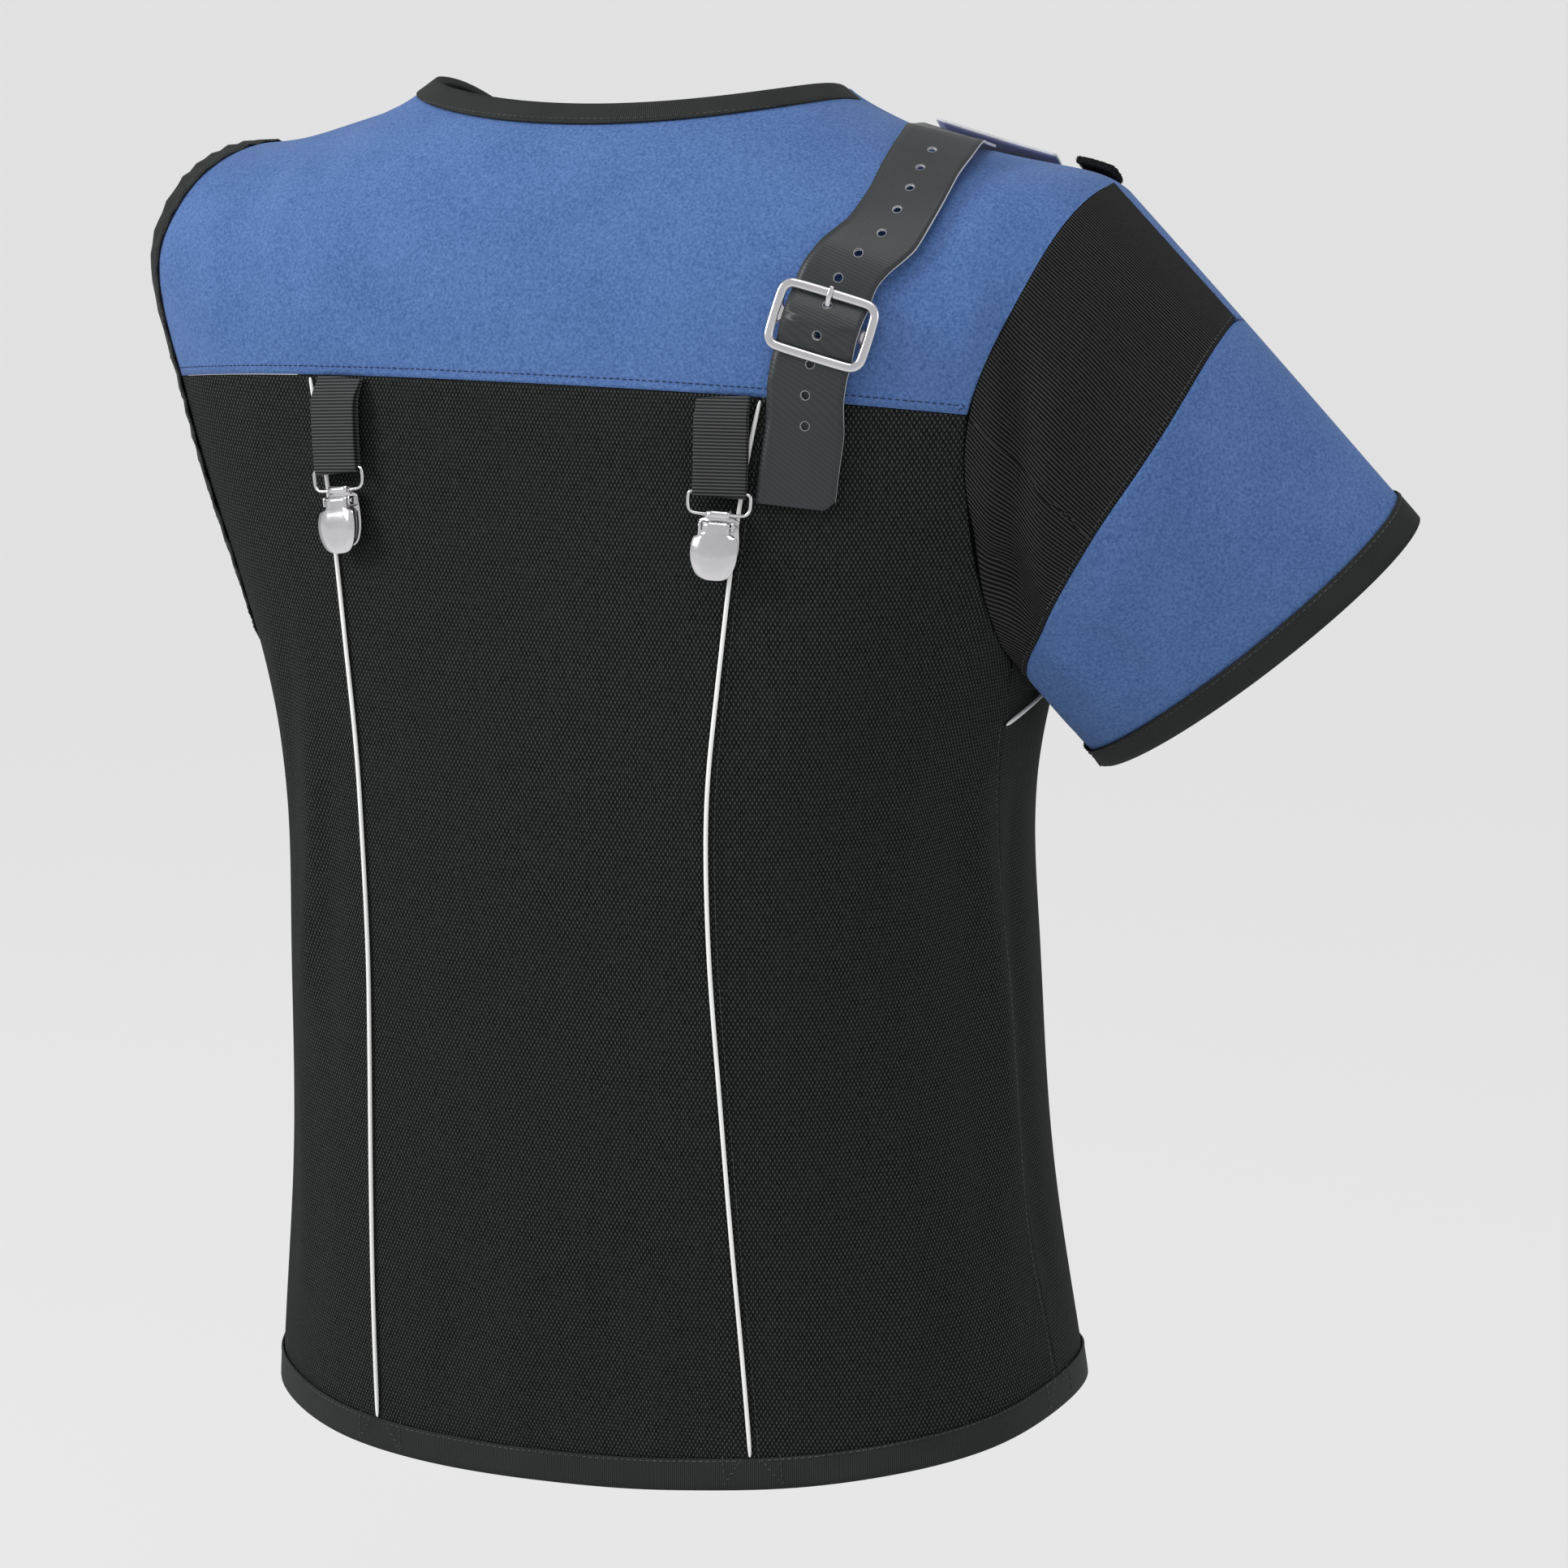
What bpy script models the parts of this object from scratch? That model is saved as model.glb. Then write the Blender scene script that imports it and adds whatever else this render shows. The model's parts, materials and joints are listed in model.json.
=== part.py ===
"""A shooting vest with one short sleeve, filled out as when it is worn.

The cloth is a set of panels, each a thin closed wall on one shared form. The wearer looks along -Y,
+Z is up, and the wearer's right, with the sleeve, is -X. The origin is between the neck ends of the
two shoulders, where the wearer carries the vest.
"""

import math
from typing import NamedTuple

import bpy
import numpy as np

# Cloth and clearances
CLOTH = 0.0018
TAPE = 0.001
SEAM_SIDE = 0.0002
OVER_PANEL = 0.0004
UNDER_PANEL = 0.0005

# Stations of the main lines, as cloth length down from the neck
YOKE_SEAM = 0.198
HEM = 0.720

# Turns about the body, in degrees from the side towards the back
SHOULDER_SEAM_TURN = -10.0
CENTRE_BACK = 90.0
CENTRE_FRONT = -90.0

# The whole form drifts sideways down the body and its hem dips on the wearer's left
LEAN = 0.027
HEM_DIP = -0.057
DIP_START = 0.34
DIP_LENGTH = 0.38

# Bindings: how far each leg reaches in from the edge
NECK_BINDING = 0.015
ARMHOLE_BINDING = 0.012
HEM_BINDING = 0.0165
CUFF_BINDING = 0.014

# Front opening and its zip
FRONT_EDGE = 0.005
ZIP_TOP = 0.018
ZIP_BOTTOM = 0.698
CHAIN_WIDTH = 0.006
CHAIN_THICK = 0.002
ZIP_TAPE_WIDTH = 0.013
SLIDER_STATION = 0.030
SLIDER_LENGTH = 0.012
SLIDER_WIDTH = 0.0082
PULL_LENGTH = 0.026

# Piping cord on the seams
PIPING_RADIUS = 0.0012

# Strap, its buckle and the short strap that holds the buckle
STRAP_WIDTH = 0.0355
STRAP_THICK = 0.0012
HOLE_PITCH = 0.014
HOLE_RADIUS = 0.002
LAST_HOLE = 0.0468
HOLE_CELL = 0.0032
HOLE_COUNT = 12
STRAP_TAIL = 0.083
STRAP_FRONT = 0.166
TAIL_CHAMFER = 0.0045
BUCKLE_WIDTH = 0.0485
BUCKLE_HEIGHT = 0.0335
BUCKLE_BAR_WIDTH = 0.0045
BUCKLE_CORNER = 0.0056
BUCKLE_BAR_THICK = 0.0024
BUCKLE_BAR_LIFT = 0.0048
CENTRE_BAR_RADIUS = 0.0013
CENTRE_BAR_LIFT = 0.0037
CHAPE_WIDTH = 0.032
CHAPE_THICK = 0.001

# Webbing tabs with their clips
WEBBING_WIDTH = 0.0245
WEBBING_THICK = 0.0011
WEBBING_LENGTH = 0.046
WIRE_RADIUS = 0.001
BAIL_WIDTH = 0.0310
BAIL_LENGTH = 0.010
BAIL_LIFT = 0.0066
TAB_RISE_STEPS = 2.5
FOLD_GAP = 0.0003
SHEET_METAL = 0.001
PIN_RADIUS = 0.001
PIN_DOWN = 0.005
PIN_OUT = 0.0015
LEVER_LENGTH = 0.036


class Ring(NamedTuple):
    """One level ring of the body: heights, half sizes and squareness of its oval."""

    station: float
    side_z: float
    back_z: float
    front_z: float
    half_width: float
    back_depth: float
    front_depth: float
    square: float


RINGS = (
    Ring(0.000, -0.010, -0.020, -0.085, 0.105, 0.063, 0.090, 2.00),
    Ring(0.030, -0.022, -0.036, -0.108, 0.122, 0.088, 0.108, 2.10),
    Ring(0.073, -0.040, -0.066, -0.138, 0.180, 0.107, 0.124, 2.30),
    Ring(0.118, -0.049, -0.098, -0.165, 0.236, 0.118, 0.135, 2.50),
    Ring(0.150, -0.080, -0.120, -0.192, 0.254, 0.122, 0.142, 2.60),
    Ring(0.198, -0.158, -0.141, -0.225, 0.239, 0.124, 0.148, 2.60),
    Ring(0.323, -0.277, -0.281, -0.280, 0.199, 0.137, 0.150, 2.50),
    Ring(0.394, -0.343, -0.343, -0.345, 0.184, 0.142, 0.146, 2.45),
    Ring(0.482, -0.431, -0.431, -0.432, 0.187, 0.141, 0.142, 2.40),
    Ring(0.582, -0.525, -0.534, -0.530, 0.191, 0.140, 0.144, 2.40),
    Ring(0.720, -0.646, -0.660, -0.667, 0.208, 0.134, 0.150, 2.35),
)


class Fold(NamedTuple):
    """A soft trough or ridge on the body: its middle, its half sizes and its height."""

    turn: float
    station: float
    half_turn: float
    half_length: float
    height: float


FOLDS = (
    Fold(14.0, 0.640, 7.0, 0.110, 0.0030),
    Fold(30.0, 0.660, 6.0, 0.090, -0.0025),
    Fold(122.0, 0.665, 8.0, 0.100, -0.0025),
    Fold(160.0, 0.660, 7.0, 0.110, 0.0035),
    Fold(24.0, 0.330, 8.0, 0.050, -0.0030),
    Fold(152.0, 0.300, 6.0, 0.060, -0.0030),
    Fold(-62.0, 0.640, 7.0, 0.120, 0.0035),
    Fold(-35.0, 0.650, 7.0, 0.110, -0.0030),
    Fold(242.0, 0.640, 7.0, 0.120, 0.0035),
    Fold(215.0, 0.650, 7.0, 0.110, -0.0030),
)


class ArmholeRow(NamedTuple):
    """A point of an armhole: share of the way from its top to its bottom, and its place."""

    share: float
    station: float
    turn: float


LEFT_ARMHOLE = (
    ArmholeRow(0.00, 0.100, 0.0),
    ArmholeRow(0.08, 0.103, 9.4),
    ArmholeRow(0.20, 0.125, 15.5),
    ArmholeRow(0.33, 0.158, 15.5),
    ArmholeRow(0.48, 0.203, 15.0),
    ArmholeRow(0.63, 0.250, 17.0),
    ArmholeRow(0.78, 0.290, 19.5),
    ArmholeRow(0.89, 0.318, 16.0),
    ArmholeRow(0.96, 0.334, 9.0),
    ArmholeRow(1.00, 0.338, 0.0),
)
RIGHT_ARMHOLE = (
    ArmholeRow(0.00, 0.122, 0.0),
    ArmholeRow(0.08, 0.124, 6.6),
    ArmholeRow(0.18, 0.133, 13.8),
    ArmholeRow(0.30, 0.156, 19.5),
    ArmholeRow(0.42, 0.185, 22.5),
    ArmholeRow(0.54, 0.220, 22.6),
    ArmholeRow(0.66, 0.254, 20.5),
    ArmholeRow(0.80, 0.286, 16.3),
    ArmholeRow(0.91, 0.311, 10.0),
    ArmholeRow(1.00, 0.322, 0.0),
)


class SeamRow(NamedTuple):
    """A point of a seam that runs down the body: its station and its turn."""

    station: float
    turn: float


# Back piping seams, as turns from the centre back, and side seams, as turns behind the side
PIPING_SEAM = (
    SeamRow(0.198, 44.7),
    SeamRow(0.300, 37.6),
    SeamRow(0.370, 34.5),
    SeamRow(0.440, 34.0),
    SeamRow(0.510, 35.1),
    SeamRow(0.580, 36.4),
    SeamRow(0.650, 37.9),
    SeamRow(0.720, 39.1),
)
SIDE_SEAM = (
    SeamRow(0.290, 9.6),
    SeamRow(0.348, 7.4),
    SeamRow(0.396, 4.3),
    SeamRow(0.475, 2.7),
    SeamRow(0.610, 1.7),
    SeamRow(0.720, 0.8),
)


class FrontSeamRow(NamedTuple):
    """A point of the piped front seam: share of the way from the side to the front, and its stations."""

    share: float
    left: float
    right: float


FRONT_SEAM = (
    FrontSeamRow(0.00, 0.372, 0.348),
    FrontSeamRow(0.05, 0.370, 0.344),
    FrontSeamRow(0.15, 0.362, 0.337),
    FrontSeamRow(0.25, 0.346, 0.325),
    FrontSeamRow(0.32, 0.335, 0.315),
    FrontSeamRow(0.60, 0.297, 0.287),
    FrontSeamRow(1.00, 0.264, 0.262),
)

# Sleeve: the cuff is an oval square to the arm
CUFF_CENTRE = np.array([-0.297, -0.047, -0.265])
ARM_AXIS = np.array([-0.58, -0.36, -0.73])
CUFF_LONG_AXIS = np.array([-0.767, 0.0, 0.641])
CUFF_HALF_LONG = 0.0975
CUFF_HALF_SHORT = 0.046
SLEEVE_FULLNESS = 0.010


class CapRow(NamedTuple):
    """Where the sleeve's upper pieces end: a turn from the sleeve's top and a share of its length."""

    turn: float
    share: float


CAP_SEAM = (
    CapRow(0.0, 0.40),
    CapRow(45.0, 0.42),
    CapRow(90.0, 0.42),
    CapRow(120.0, 0.38),
    CapRow(150.0, 0.28),
    CapRow(180.0, 0.15),
)


class StrapRow(NamedTuple):
    """A point of the strap's middle line on the body."""

    turn: float
    station: float


STRAP_LINE = (
    StrapRow(212.0, 0.084),
    StrapRow(200.0, 0.068),
    StrapRow(190.0, 0.060),
    StrapRow(181.0, 0.060),
    StrapRow(172.0, 0.065),
    StrapRow(163.0, 0.076),
    StrapRow(156.0, 0.092),
    StrapRow(150.7, 0.109),
    StrapRow(146.0, 0.128),
    StrapRow(142.5, 0.147),
    StrapRow(141.8, 0.172),
    StrapRow(141.1, 0.193),
    StrapRow(140.3, 0.210),
    StrapRow(138.7, 0.2424),
    StrapRow(137.9, 0.262),
)
BUCKLE_TURN = 142.5

# Places along the body where the strap's mesh bends
STRAP_BENDS = (
    -0.155, -0.145, -0.136, -0.128, -0.1225, -0.1195, -0.1145,
    -0.0165, -0.0123, 0.0, 0.0123, 0.0165, 0.060, 0.070,
)


class LiftRow(NamedTuple):
    """How high the strap's underside lies over the body, along the strap from the buckle's bar."""

    along: float
    lift: float


STRAP_LIFT = (
    LiftRow(-0.170, 0.0014),
    LiftRow(-0.145, 0.0030),
    LiftRow(-0.128, 0.0065),
    LiftRow(-0.120, 0.0090),
    LiftRow(-0.107, 0.0072),
    LiftRow(-0.093, 0.0052),
    LiftRow(-0.079, 0.0033),
    LiftRow(-0.065, 0.0020),
    LiftRow(-0.045, 0.0014),
    LiftRow(-0.022, 0.0014),
    LiftRow(-0.0165, 0.0015),
    LiftRow(-0.0123, 0.0020),
    LiftRow(-0.0085, 0.0041),
    LiftRow(-0.003, 0.0066),
    LiftRow(0.000, 0.0069),
    LiftRow(0.003, 0.0066),
    LiftRow(0.0085, 0.0041),
    LiftRow(0.0123, 0.0020),
    LiftRow(0.0165, 0.0019),
    LiftRow(0.030, 0.0019),
    LiftRow(0.045, 0.0021),
    LiftRow(0.055, 0.0034),
    LiftRow(0.083, 0.0036),
)

# Back plate of a clip, down from its bar, and the buckle's prong, along and out
CLIP_BACK_DOWNS = (0.0025, 0.008, 0.015, 0.021, 0.0245, 0.0265)
PRONG_BENDS = ((-0.0045, 0.0021), (-0.0068, 0.0036), (-0.0107, 0.0060))
PRONG_TIP = -0.0126

# Station above which the armhole's edge is clear of the side seam
SEAM_TOP = 0.27

# Mesh steps round the panels' borders, and rows along them
SHOULDER_TO_TOP = 2
TOP_TO_YOKE = 6
YOKE_TO_SIDE = 8
SIDE_TO_BOTTOM = 2
BOTTOM_TO_SHOULDER = 9
AT_TOP = SHOULDER_TO_TOP
AT_YOKE = AT_TOP + TOP_TO_YOKE
AT_SIDE = AT_YOKE + YOKE_TO_SIDE
AT_BOTTOM = AT_SIDE + SIDE_TO_BOTTOM
AT_BAND = AT_BOTTOM + 2
ALL_ROUND = AT_BOTTOM + BOTTOM_TO_SHOULDER
SHOULDER_STEPS = 3
NECK_BACK_STEPS = 14
NECK_FRONT_STEPS = 6
BACK_STEPS = 8
BACK_SIDE_STEPS = 6
BAND_STEPS = SHOULDER_STEPS + NECK_FRONT_STEPS
SIDE_STEPS = 11
HEM_ROW = HEM - HEM_BINDING
NECK_ROW = NECK_BINDING
BAND_STATION = 0.236

# Clip levers: places down and out from the pin, widths, and the ears beside them
LEVER_FACE = (
    (0.0035, 0.0001),
    (0.0050, 0.0003),
    (0.009, 0.0012),
    (0.015, 0.0014),
    (0.020, 0.0010),
    (0.0225, 0.0006),
    (0.0240, 0.0002),
)
LEVER_WIDTHS = (0.0062, 0.0100, 0.0110, 0.0108, 0.0090, 0.0070, 0.0042)
EAR_INSIDE = 0.0070
EAR_LENGTH = 0.0042
REST_AT = (-1.0, -0.5, 0.0, 0.5, 1.0)


class Finish(NamedTuple):
    """Colour, roughness and metallic value of a material."""

    colour: tuple
    roughness: float
    metallic: float


SUEDE = Finish((0.100, 0.190, 0.420), 0.95, 0.0)
CANVAS = Finish((0.014, 0.015, 0.014), 0.85, 0.0)
SLEEVE_CLOTH = Finish((0.012, 0.013, 0.012), 0.8, 0.0)
BINDING = Finish((0.030, 0.032, 0.032), 0.7, 0.0)
PIPING = Finish((0.800, 0.800, 0.790), 0.6, 0.0)
COATED = Finish((0.050, 0.056, 0.060), 0.45, 0.0)
COATED_BACK = Finish((0.450, 0.430, 0.560), 0.8, 0.0)
WEBBING = Finish((0.035, 0.036, 0.036), 0.7, 0.0)
NICKEL = Finish((0.720, 0.710, 0.730), 0.22, 1.0)


# Curves through the rows of a table


def smooth(rows, name, at, by="station"):
    """Values of one column, read from a smooth curve through the rows."""
    x = np.array([getattr(row, by) for row in rows])
    y = np.array([getattr(row, name) for row in rows])
    slope = np.gradient(y, x)
    at = np.clip(np.asarray(at, float), x[0], x[-1])
    i = np.clip(np.searchsorted(x, at, side="right") - 1, 0, len(x) - 2)
    step = x[i + 1] - x[i]
    t = (at - x[i]) / step
    ends = (2 * t**3 - 3 * t**2 + 1) * y[i] + (3 * t**2 - 2 * t**3) * y[i + 1]
    bends = (t**3 - 2 * t**2 + t) * slope[i] + (t**3 - t**2) * slope[i + 1]
    return ends + step * bends


def unit(vectors):
    return vectors / np.linalg.norm(vectors, axis=-1, keepdims=True)


def ease(x):
    """0 below 0, 1 above 1, and a soft step between."""
    x = np.clip(x, 0.0, 1.0)
    return x * x * (3 - 2 * x)


# The body's form


def torso(turn, station):
    """Points of the body's outer surface. Turn 0 is the wearer's left, 90 the back, 180 the right."""
    turn, station = np.broadcast_arrays(np.asarray(turn, float), np.asarray(station, float))
    angle = np.radians(turn)
    half_width = smooth(RINGS, "half_width", station)
    at_back = np.sin(angle) >= 0
    back_depth, front_depth = smooth(RINGS, "back_depth", station), smooth(RINGS, "front_depth", station)
    depth = np.where(at_back, back_depth, front_depth)
    square = smooth(RINGS, "square", station)
    across, deep = np.abs(np.cos(angle) / half_width), np.abs(np.sin(angle) / depth)
    radius = (across**square + deep**square) ** (-1 / square)
    lifts = sum(fold.height * fold_shape(fold, turn, station) for fold in FOLDS)
    x = (radius + lifts) * np.cos(angle)
    y = (radius + lifts) * np.sin(angle)
    side_z = smooth(RINGS, "side_z", station)
    far_z = np.where(at_back, smooth(RINGS, "back_z", station), smooth(RINGS, "front_z", station))
    z = side_z + (far_z - side_z) * (radius * np.sin(angle) / depth) ** 2
    dip = HEM_DIP * x * np.clip((station - DIP_START) / DIP_LENGTH, 0, 1)
    return np.stack([x + LEAN * z, y, z + dip], -1)


def fold_shape(fold, turn, station):
    away = (turn - fold.turn + 180) % 360 - 180
    return np.exp(-((away / fold.half_turn) ** 2) - ((station - fold.station) / fold.half_length) ** 2)


def cuff_axes():
    arm = unit(ARM_AXIS)
    long_axis = unit(CUFF_LONG_AXIS - arm * (CUFF_LONG_AXIS @ arm))
    return arm, long_axis, np.cross(long_axis, arm)


def sleeve(turn, share):
    """Points of the sleeve's outer surface. Turn 0 is its top, 90 its front, 180 under the arm."""
    turn, share = np.broadcast_arrays(np.asarray(turn, float) % 360, np.asarray(share, float))
    way = np.where(turn <= 180, turn, 360 - turn) / 180
    off_side = np.where(turn <= 180, -1, 1) * smooth(RIGHT_ARMHOLE, "turn", way, "share")
    start = torso(180 - off_side, smooth(RIGHT_ARMHOLE, "station", way, "share"))
    arm, long_axis, short_axis = cuff_axes()
    angle = np.radians(turn)[..., None]
    spoke = CUFF_HALF_LONG * np.cos(angle) * long_axis + CUFF_HALF_SHORT * np.sin(angle) * short_axis
    end = CUFF_CENTRE + spoke
    t = share[..., None]
    fullness = SLEEVE_FULLNESS * 4 * t * (1 - t) * np.sin(angle) ** 2
    crease = -0.007 * np.exp(-(((turn - 243) / 13) ** 2) - ((share - 0.16) / 0.20) ** 2)
    roll = 0.005 * np.exp(-(((turn - 262) / 14) ** 2) - ((share - 0.22) / 0.25) ** 2)
    return start + (end - start) * t + unit(spoke) * (fullness + (crease + roll)[..., None])


def outward(surface, turn, along):
    """Unit normals of a surface, pointing out of the garment."""
    turn, along = np.broadcast_arrays(np.asarray(turn, float), np.asarray(along, float))
    low = 0.001 if surface is torso else 0.01
    before, after = np.maximum(along - low, 0), along + low
    down = surface(turn, after) - surface(turn, before)
    around = surface(turn + 0.5, along) - surface(turn - 0.5, along)
    return unit(np.cross(down, around))


def shifted(surface, turn, along, step):
    """The surface's own coordinates of points moved along it by steps in space."""
    low = 0.0005 if surface is torso else 0.005
    high = HEM if surface is torso else 1.0
    for _ in range(3):
        near = np.clip(along, low, high - low)
        by_turn = (surface(turn + 0.25, near) - surface(turn - 0.25, near)) / 0.5
        by_along = (surface(turn, near + low) - surface(turn, near - low)) / (2 * low)
        a, b, c = (by_turn * by_turn).sum(-1), (by_turn * by_along).sum(-1), (by_along * by_along).sum(-1)
        p, q = (by_turn * step).sum(-1) / 3, (by_along * step).sum(-1) / 3
        whole = a * c - b * b
        turn, along = turn + (c * p - b * q) / whole, along + (a * q - b * p) / whole
    return turn, along


# Solids


def material(name, finish):
    made = bpy.data.materials.new(name)
    made.use_nodes = True
    shader = made.node_tree.nodes["Principled BSDF"]
    shader.inputs["Base Color"].default_value = (*finish.colour, 1.0)
    shader.inputs["Roughness"].default_value = finish.roughness
    shader.inputs["Metallic"].default_value = finish.metallic
    made.diffuse_color = (*finish.colour, 1.0)
    return made


def add_object(name, points, faces, finish, pivot=None):
    """A closed mesh as its own object, with its origin on the pivot if it has one."""
    points = np.asarray(points, float)
    corners = np.array([(face[0], face[i], face[i + 1]) for face in faces for i in range(1, len(face) - 1)])
    if np.linalg.det(points[corners]).sum() < 0:
        faces = [tuple(reversed(face)) for face in faces]
    origin = np.zeros(3) if pivot is None else np.asarray(pivot, float)
    mesh = bpy.data.meshes.new(name)
    corners = [tuple(map(int, face)) for face in faces]
    mesh.from_pydata([tuple(point) for point in points - origin], [], corners)
    mesh.validate()
    mesh.materials.append(material(name, finish))
    mesh.shade_smooth()
    mesh.set_sharp_from_angle(angle=math.radians(40))
    made = bpy.data.objects.new(name, mesh)
    made.location = tuple(origin)
    bpy.context.scene.collection.objects.link(made)
    return made


def wall(name, outer, inner, faces, finish, pivot=None):
    """A closed wall between two copies of a mesh, with its open edges closed."""
    count = len(outer)
    edges = {}
    for face in faces:
        for a, b in zip(face, face[1:] + face[:1]):
            edges[(a, b)] = edges.get((a, b), 0) + 1
    sides = []
    for a, b in edges:
        if (b, a) in edges:
            continue
        from_a = np.linalg.norm(outer[a] - inner[b]) < np.linalg.norm(outer[b] - inner[a])
        if from_a:
            sides += [(b, a, b + count), (a, a + count, b + count)]
        else:
            sides += [(b, a, a + count), (b, a + count, b + count)]
    inner_faces = [tuple(i + count for i in reversed(face)) for face in faces]
    whole = list(faces) + inner_faces + sides
    return add_object(name, np.concatenate([outer, inner]), whole, finish, pivot)


def grid_faces(rows, columns, closed=False):
    """Quads of a grid of points in row order. A closed grid's last column meets its first."""
    wide = columns if closed else columns - 1
    faces = []
    for i in range(rows - 1):
        for j in range(wide):
            k = (j + 1) % columns
            faces.append((i * columns + j, i * columns + k, (i + 1) * columns + k, (i + 1) * columns + j))
    return faces


def sweep(name, sections, finish, closed=False, pivot=None):
    """A solid through equal closed sections, capped at both ends unless it is a ring."""
    sections = np.asarray(sections, float)
    count, size = sections.shape[:2]
    faces = []
    for i in range(count if closed else count - 1):
        k = (i + 1) % count
        for j in range(size):
            m = (j + 1) % size
            faces.append((i * size + j, i * size + m, k * size + m, k * size + j))
    if not closed:
        faces.append(tuple(reversed(range(size))))
        faces.append(tuple(range((count - 1) * size, count * size)))
    return add_object(name, sections.reshape(-1, 3), faces, finish, pivot)


# Panels: patches of a surface between border curves


def between(start, end, count):
    return np.linspace(start, end, count + 1)


def joined(*runs):
    """Runs of border points end to end, with each shared point once."""
    return np.concatenate([runs[0]] + [run[1:] for run in runs[1:]])


def patch(left, right, top, bottom):
    """Grid of surface coordinates between four border curves, each an array of (turn, along)."""
    v = np.linspace(0, 1, len(left))[:, None, None]
    u = np.linspace(0, 1, len(top))[None, :, None]
    ruled = (1 - v) * top[None] + v * bottom[None]
    return ruled + (1 - u) ** 2 * (left[:, None] - ruled[:, :1]) + u**2 * (right[:, None] - ruled[:, -1:])


def merged(grids):
    """Points and faces of patches that share border points, all wound the same way."""
    spots, faces = [], []
    for grid in grids:
        first, second = grid[1:, 1:] - grid[:-1, :-1], grid[1:, :-1] - grid[:-1, 1:]
        if (first[..., 0] * second[..., 1] - first[..., 1] * second[..., 0]).sum() < 0:
            grid = grid[:, ::-1]
        ids = []
        for spot in grid.reshape(-1, 2):
            same = [k for k, known in enumerate(spots) if abs(known - spot).max() < 1e-6]
            if not same:
                spots.append(spot)
            ids.append(same[0] if same else len(spots) - 1)
        faces += [tuple(ids[k] for k in face) for face in grid_faces(*grid.shape[:2])]
    return np.array(spots), faces


def leans_up(step):
    """How far a diagonal runs the same way in both of the surface's coordinates."""
    return step[..., 0] * step[..., 1]


def split(spots, faces):
    """Triangles of quads, cut on the same diagonal wherever the same quad lies in the surface."""
    made = []
    for a, b, c, d in faces:
        if leans_up(spots[c] - spots[a]) >= leans_up(spots[d] - spots[b]):
            made += [(a, b, c), (a, c, d)]
        else:
            made += [(a, b, d), (b, c, d)]
    return made


def rim_edges(faces):
    """Open edges of a mesh, each with its face."""
    edges = {}
    for face in faces:
        for a, b in zip(face, face[1:] + face[:1]):
            edges[(a, b)] = face
    return [(a, b, face) for (a, b), face in edges.items() if (b, a) not in edges]


def other_normals(surface, spots, normals):
    """Normals of the cloth on the other side of the sleeve's seam, and the piece's own elsewhere."""
    made = normals.copy()
    for k, spot in enumerate(spots):
        if surface is sleeve and spot[1] < 1e-6:
            made[k] = outward(torso, *armhole(-1, way_of_sleeve(spot[0])))
        if surface is torso:
            near = np.abs(ARMHOLES[-1].edge - spot).max(1)
            if near.min() < 1e-6:
                made[k] = outward(sleeve, sleeve_turns(ARMHOLES[-1].ways[near.argmin()]), 0.0)
    return made


def cloth(name, surface, grids, finish):
    """A cloth panel: the wall under patches of a surface, with a seam's gap round its border."""
    spots, quads = merged(grids)
    faces = split(spots, quads)
    turn, along = spots.T
    points, normals = surface(turn, along), outward(surface, turn, along)
    others = other_normals(surface, spots, normals)
    slant = np.maximum((unit(normals + others) * normals).sum(-1, keepdims=True), 0.35)
    depth = normals.copy()
    inward = {}
    for a, b, face in rim_edges(faces):
        into = unit(np.cross(normals[a], points[b] - points[a]))
        into *= np.sign(into @ (points[list(face)].mean(0) - points[a]))
        for k in (a, b):
            inward.setdefault(k, []).append(into)
    step = np.zeros_like(points)
    for k, (first, second) in inward.items():
        step[k] = (first + second) / max(1 + first @ second, 0.4) * SEAM_SIDE / slant[k]
        if others[k] @ (first + second) < 0:
            depth[k] = unit(normals[k] + others[k]) / slant[k]
    points = surface(*shifted(surface, turn, along, step))
    wall(name, points, points - CLOTH * depth, faces, finish)


# Border curves of the vest. A side is +1 for the wearer's left and -1 for the right.


def place(side, turns, stations):
    """Border points from turns counted from one side towards the back."""
    turns, stations = np.broadcast_arrays(np.asarray(turns, float), np.asarray(stations, float))
    return np.stack([turns if side > 0 else 180 - turns, stations], -1)


def armhole_rows(side):
    return LEFT_ARMHOLE if side > 0 else RIGHT_ARMHOLE


def armhole(side, ways):
    """Armhole points. Way 0 is the top, 1 the bottom round the back, and 2 the top again."""
    ways = np.asarray(ways, float)
    share = np.where(ways > 1, 2 - ways, np.abs(ways))
    behind = np.where((ways > 1) | (ways < 0), -1, 1)
    rows = armhole_rows(side)
    return place(side, behind * smooth(rows, "turn", share, "share"), smooth(rows, "station", share, "share"))


def way_where(side, test):
    """The first way round the back of the armhole, from its top, where a test of (turn, station) holds."""
    ways = np.linspace(0, 1, 2001)
    rows = armhole_rows(side)
    held = test(smooth(rows, "turn", ways, "share"), smooth(rows, "station", ways, "share"))
    return ways[np.argmax(held)]


def sleeve_turns(ways):
    """Turns about the sleeve that meet the ways round the armhole."""
    ways = np.asarray(ways, float)
    return np.where(ways < 0, -180 * ways, np.where(ways <= 1, 360 - 180 * ways, 180 * (2 - ways)))


def way_of_sleeve(turn):
    turn = turn % 360
    return 2 - turn / 180 if turn < 180 else (360 - turn) / 180


class Armhole(NamedTuple):
    """An armhole all round from its shoulder seam: its edge and a line a binding's width outside it."""

    ways: np.ndarray
    edge: np.ndarray
    inset: np.ndarray


# Points round an armhole: numbers of its steps, and the places of its seams


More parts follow.
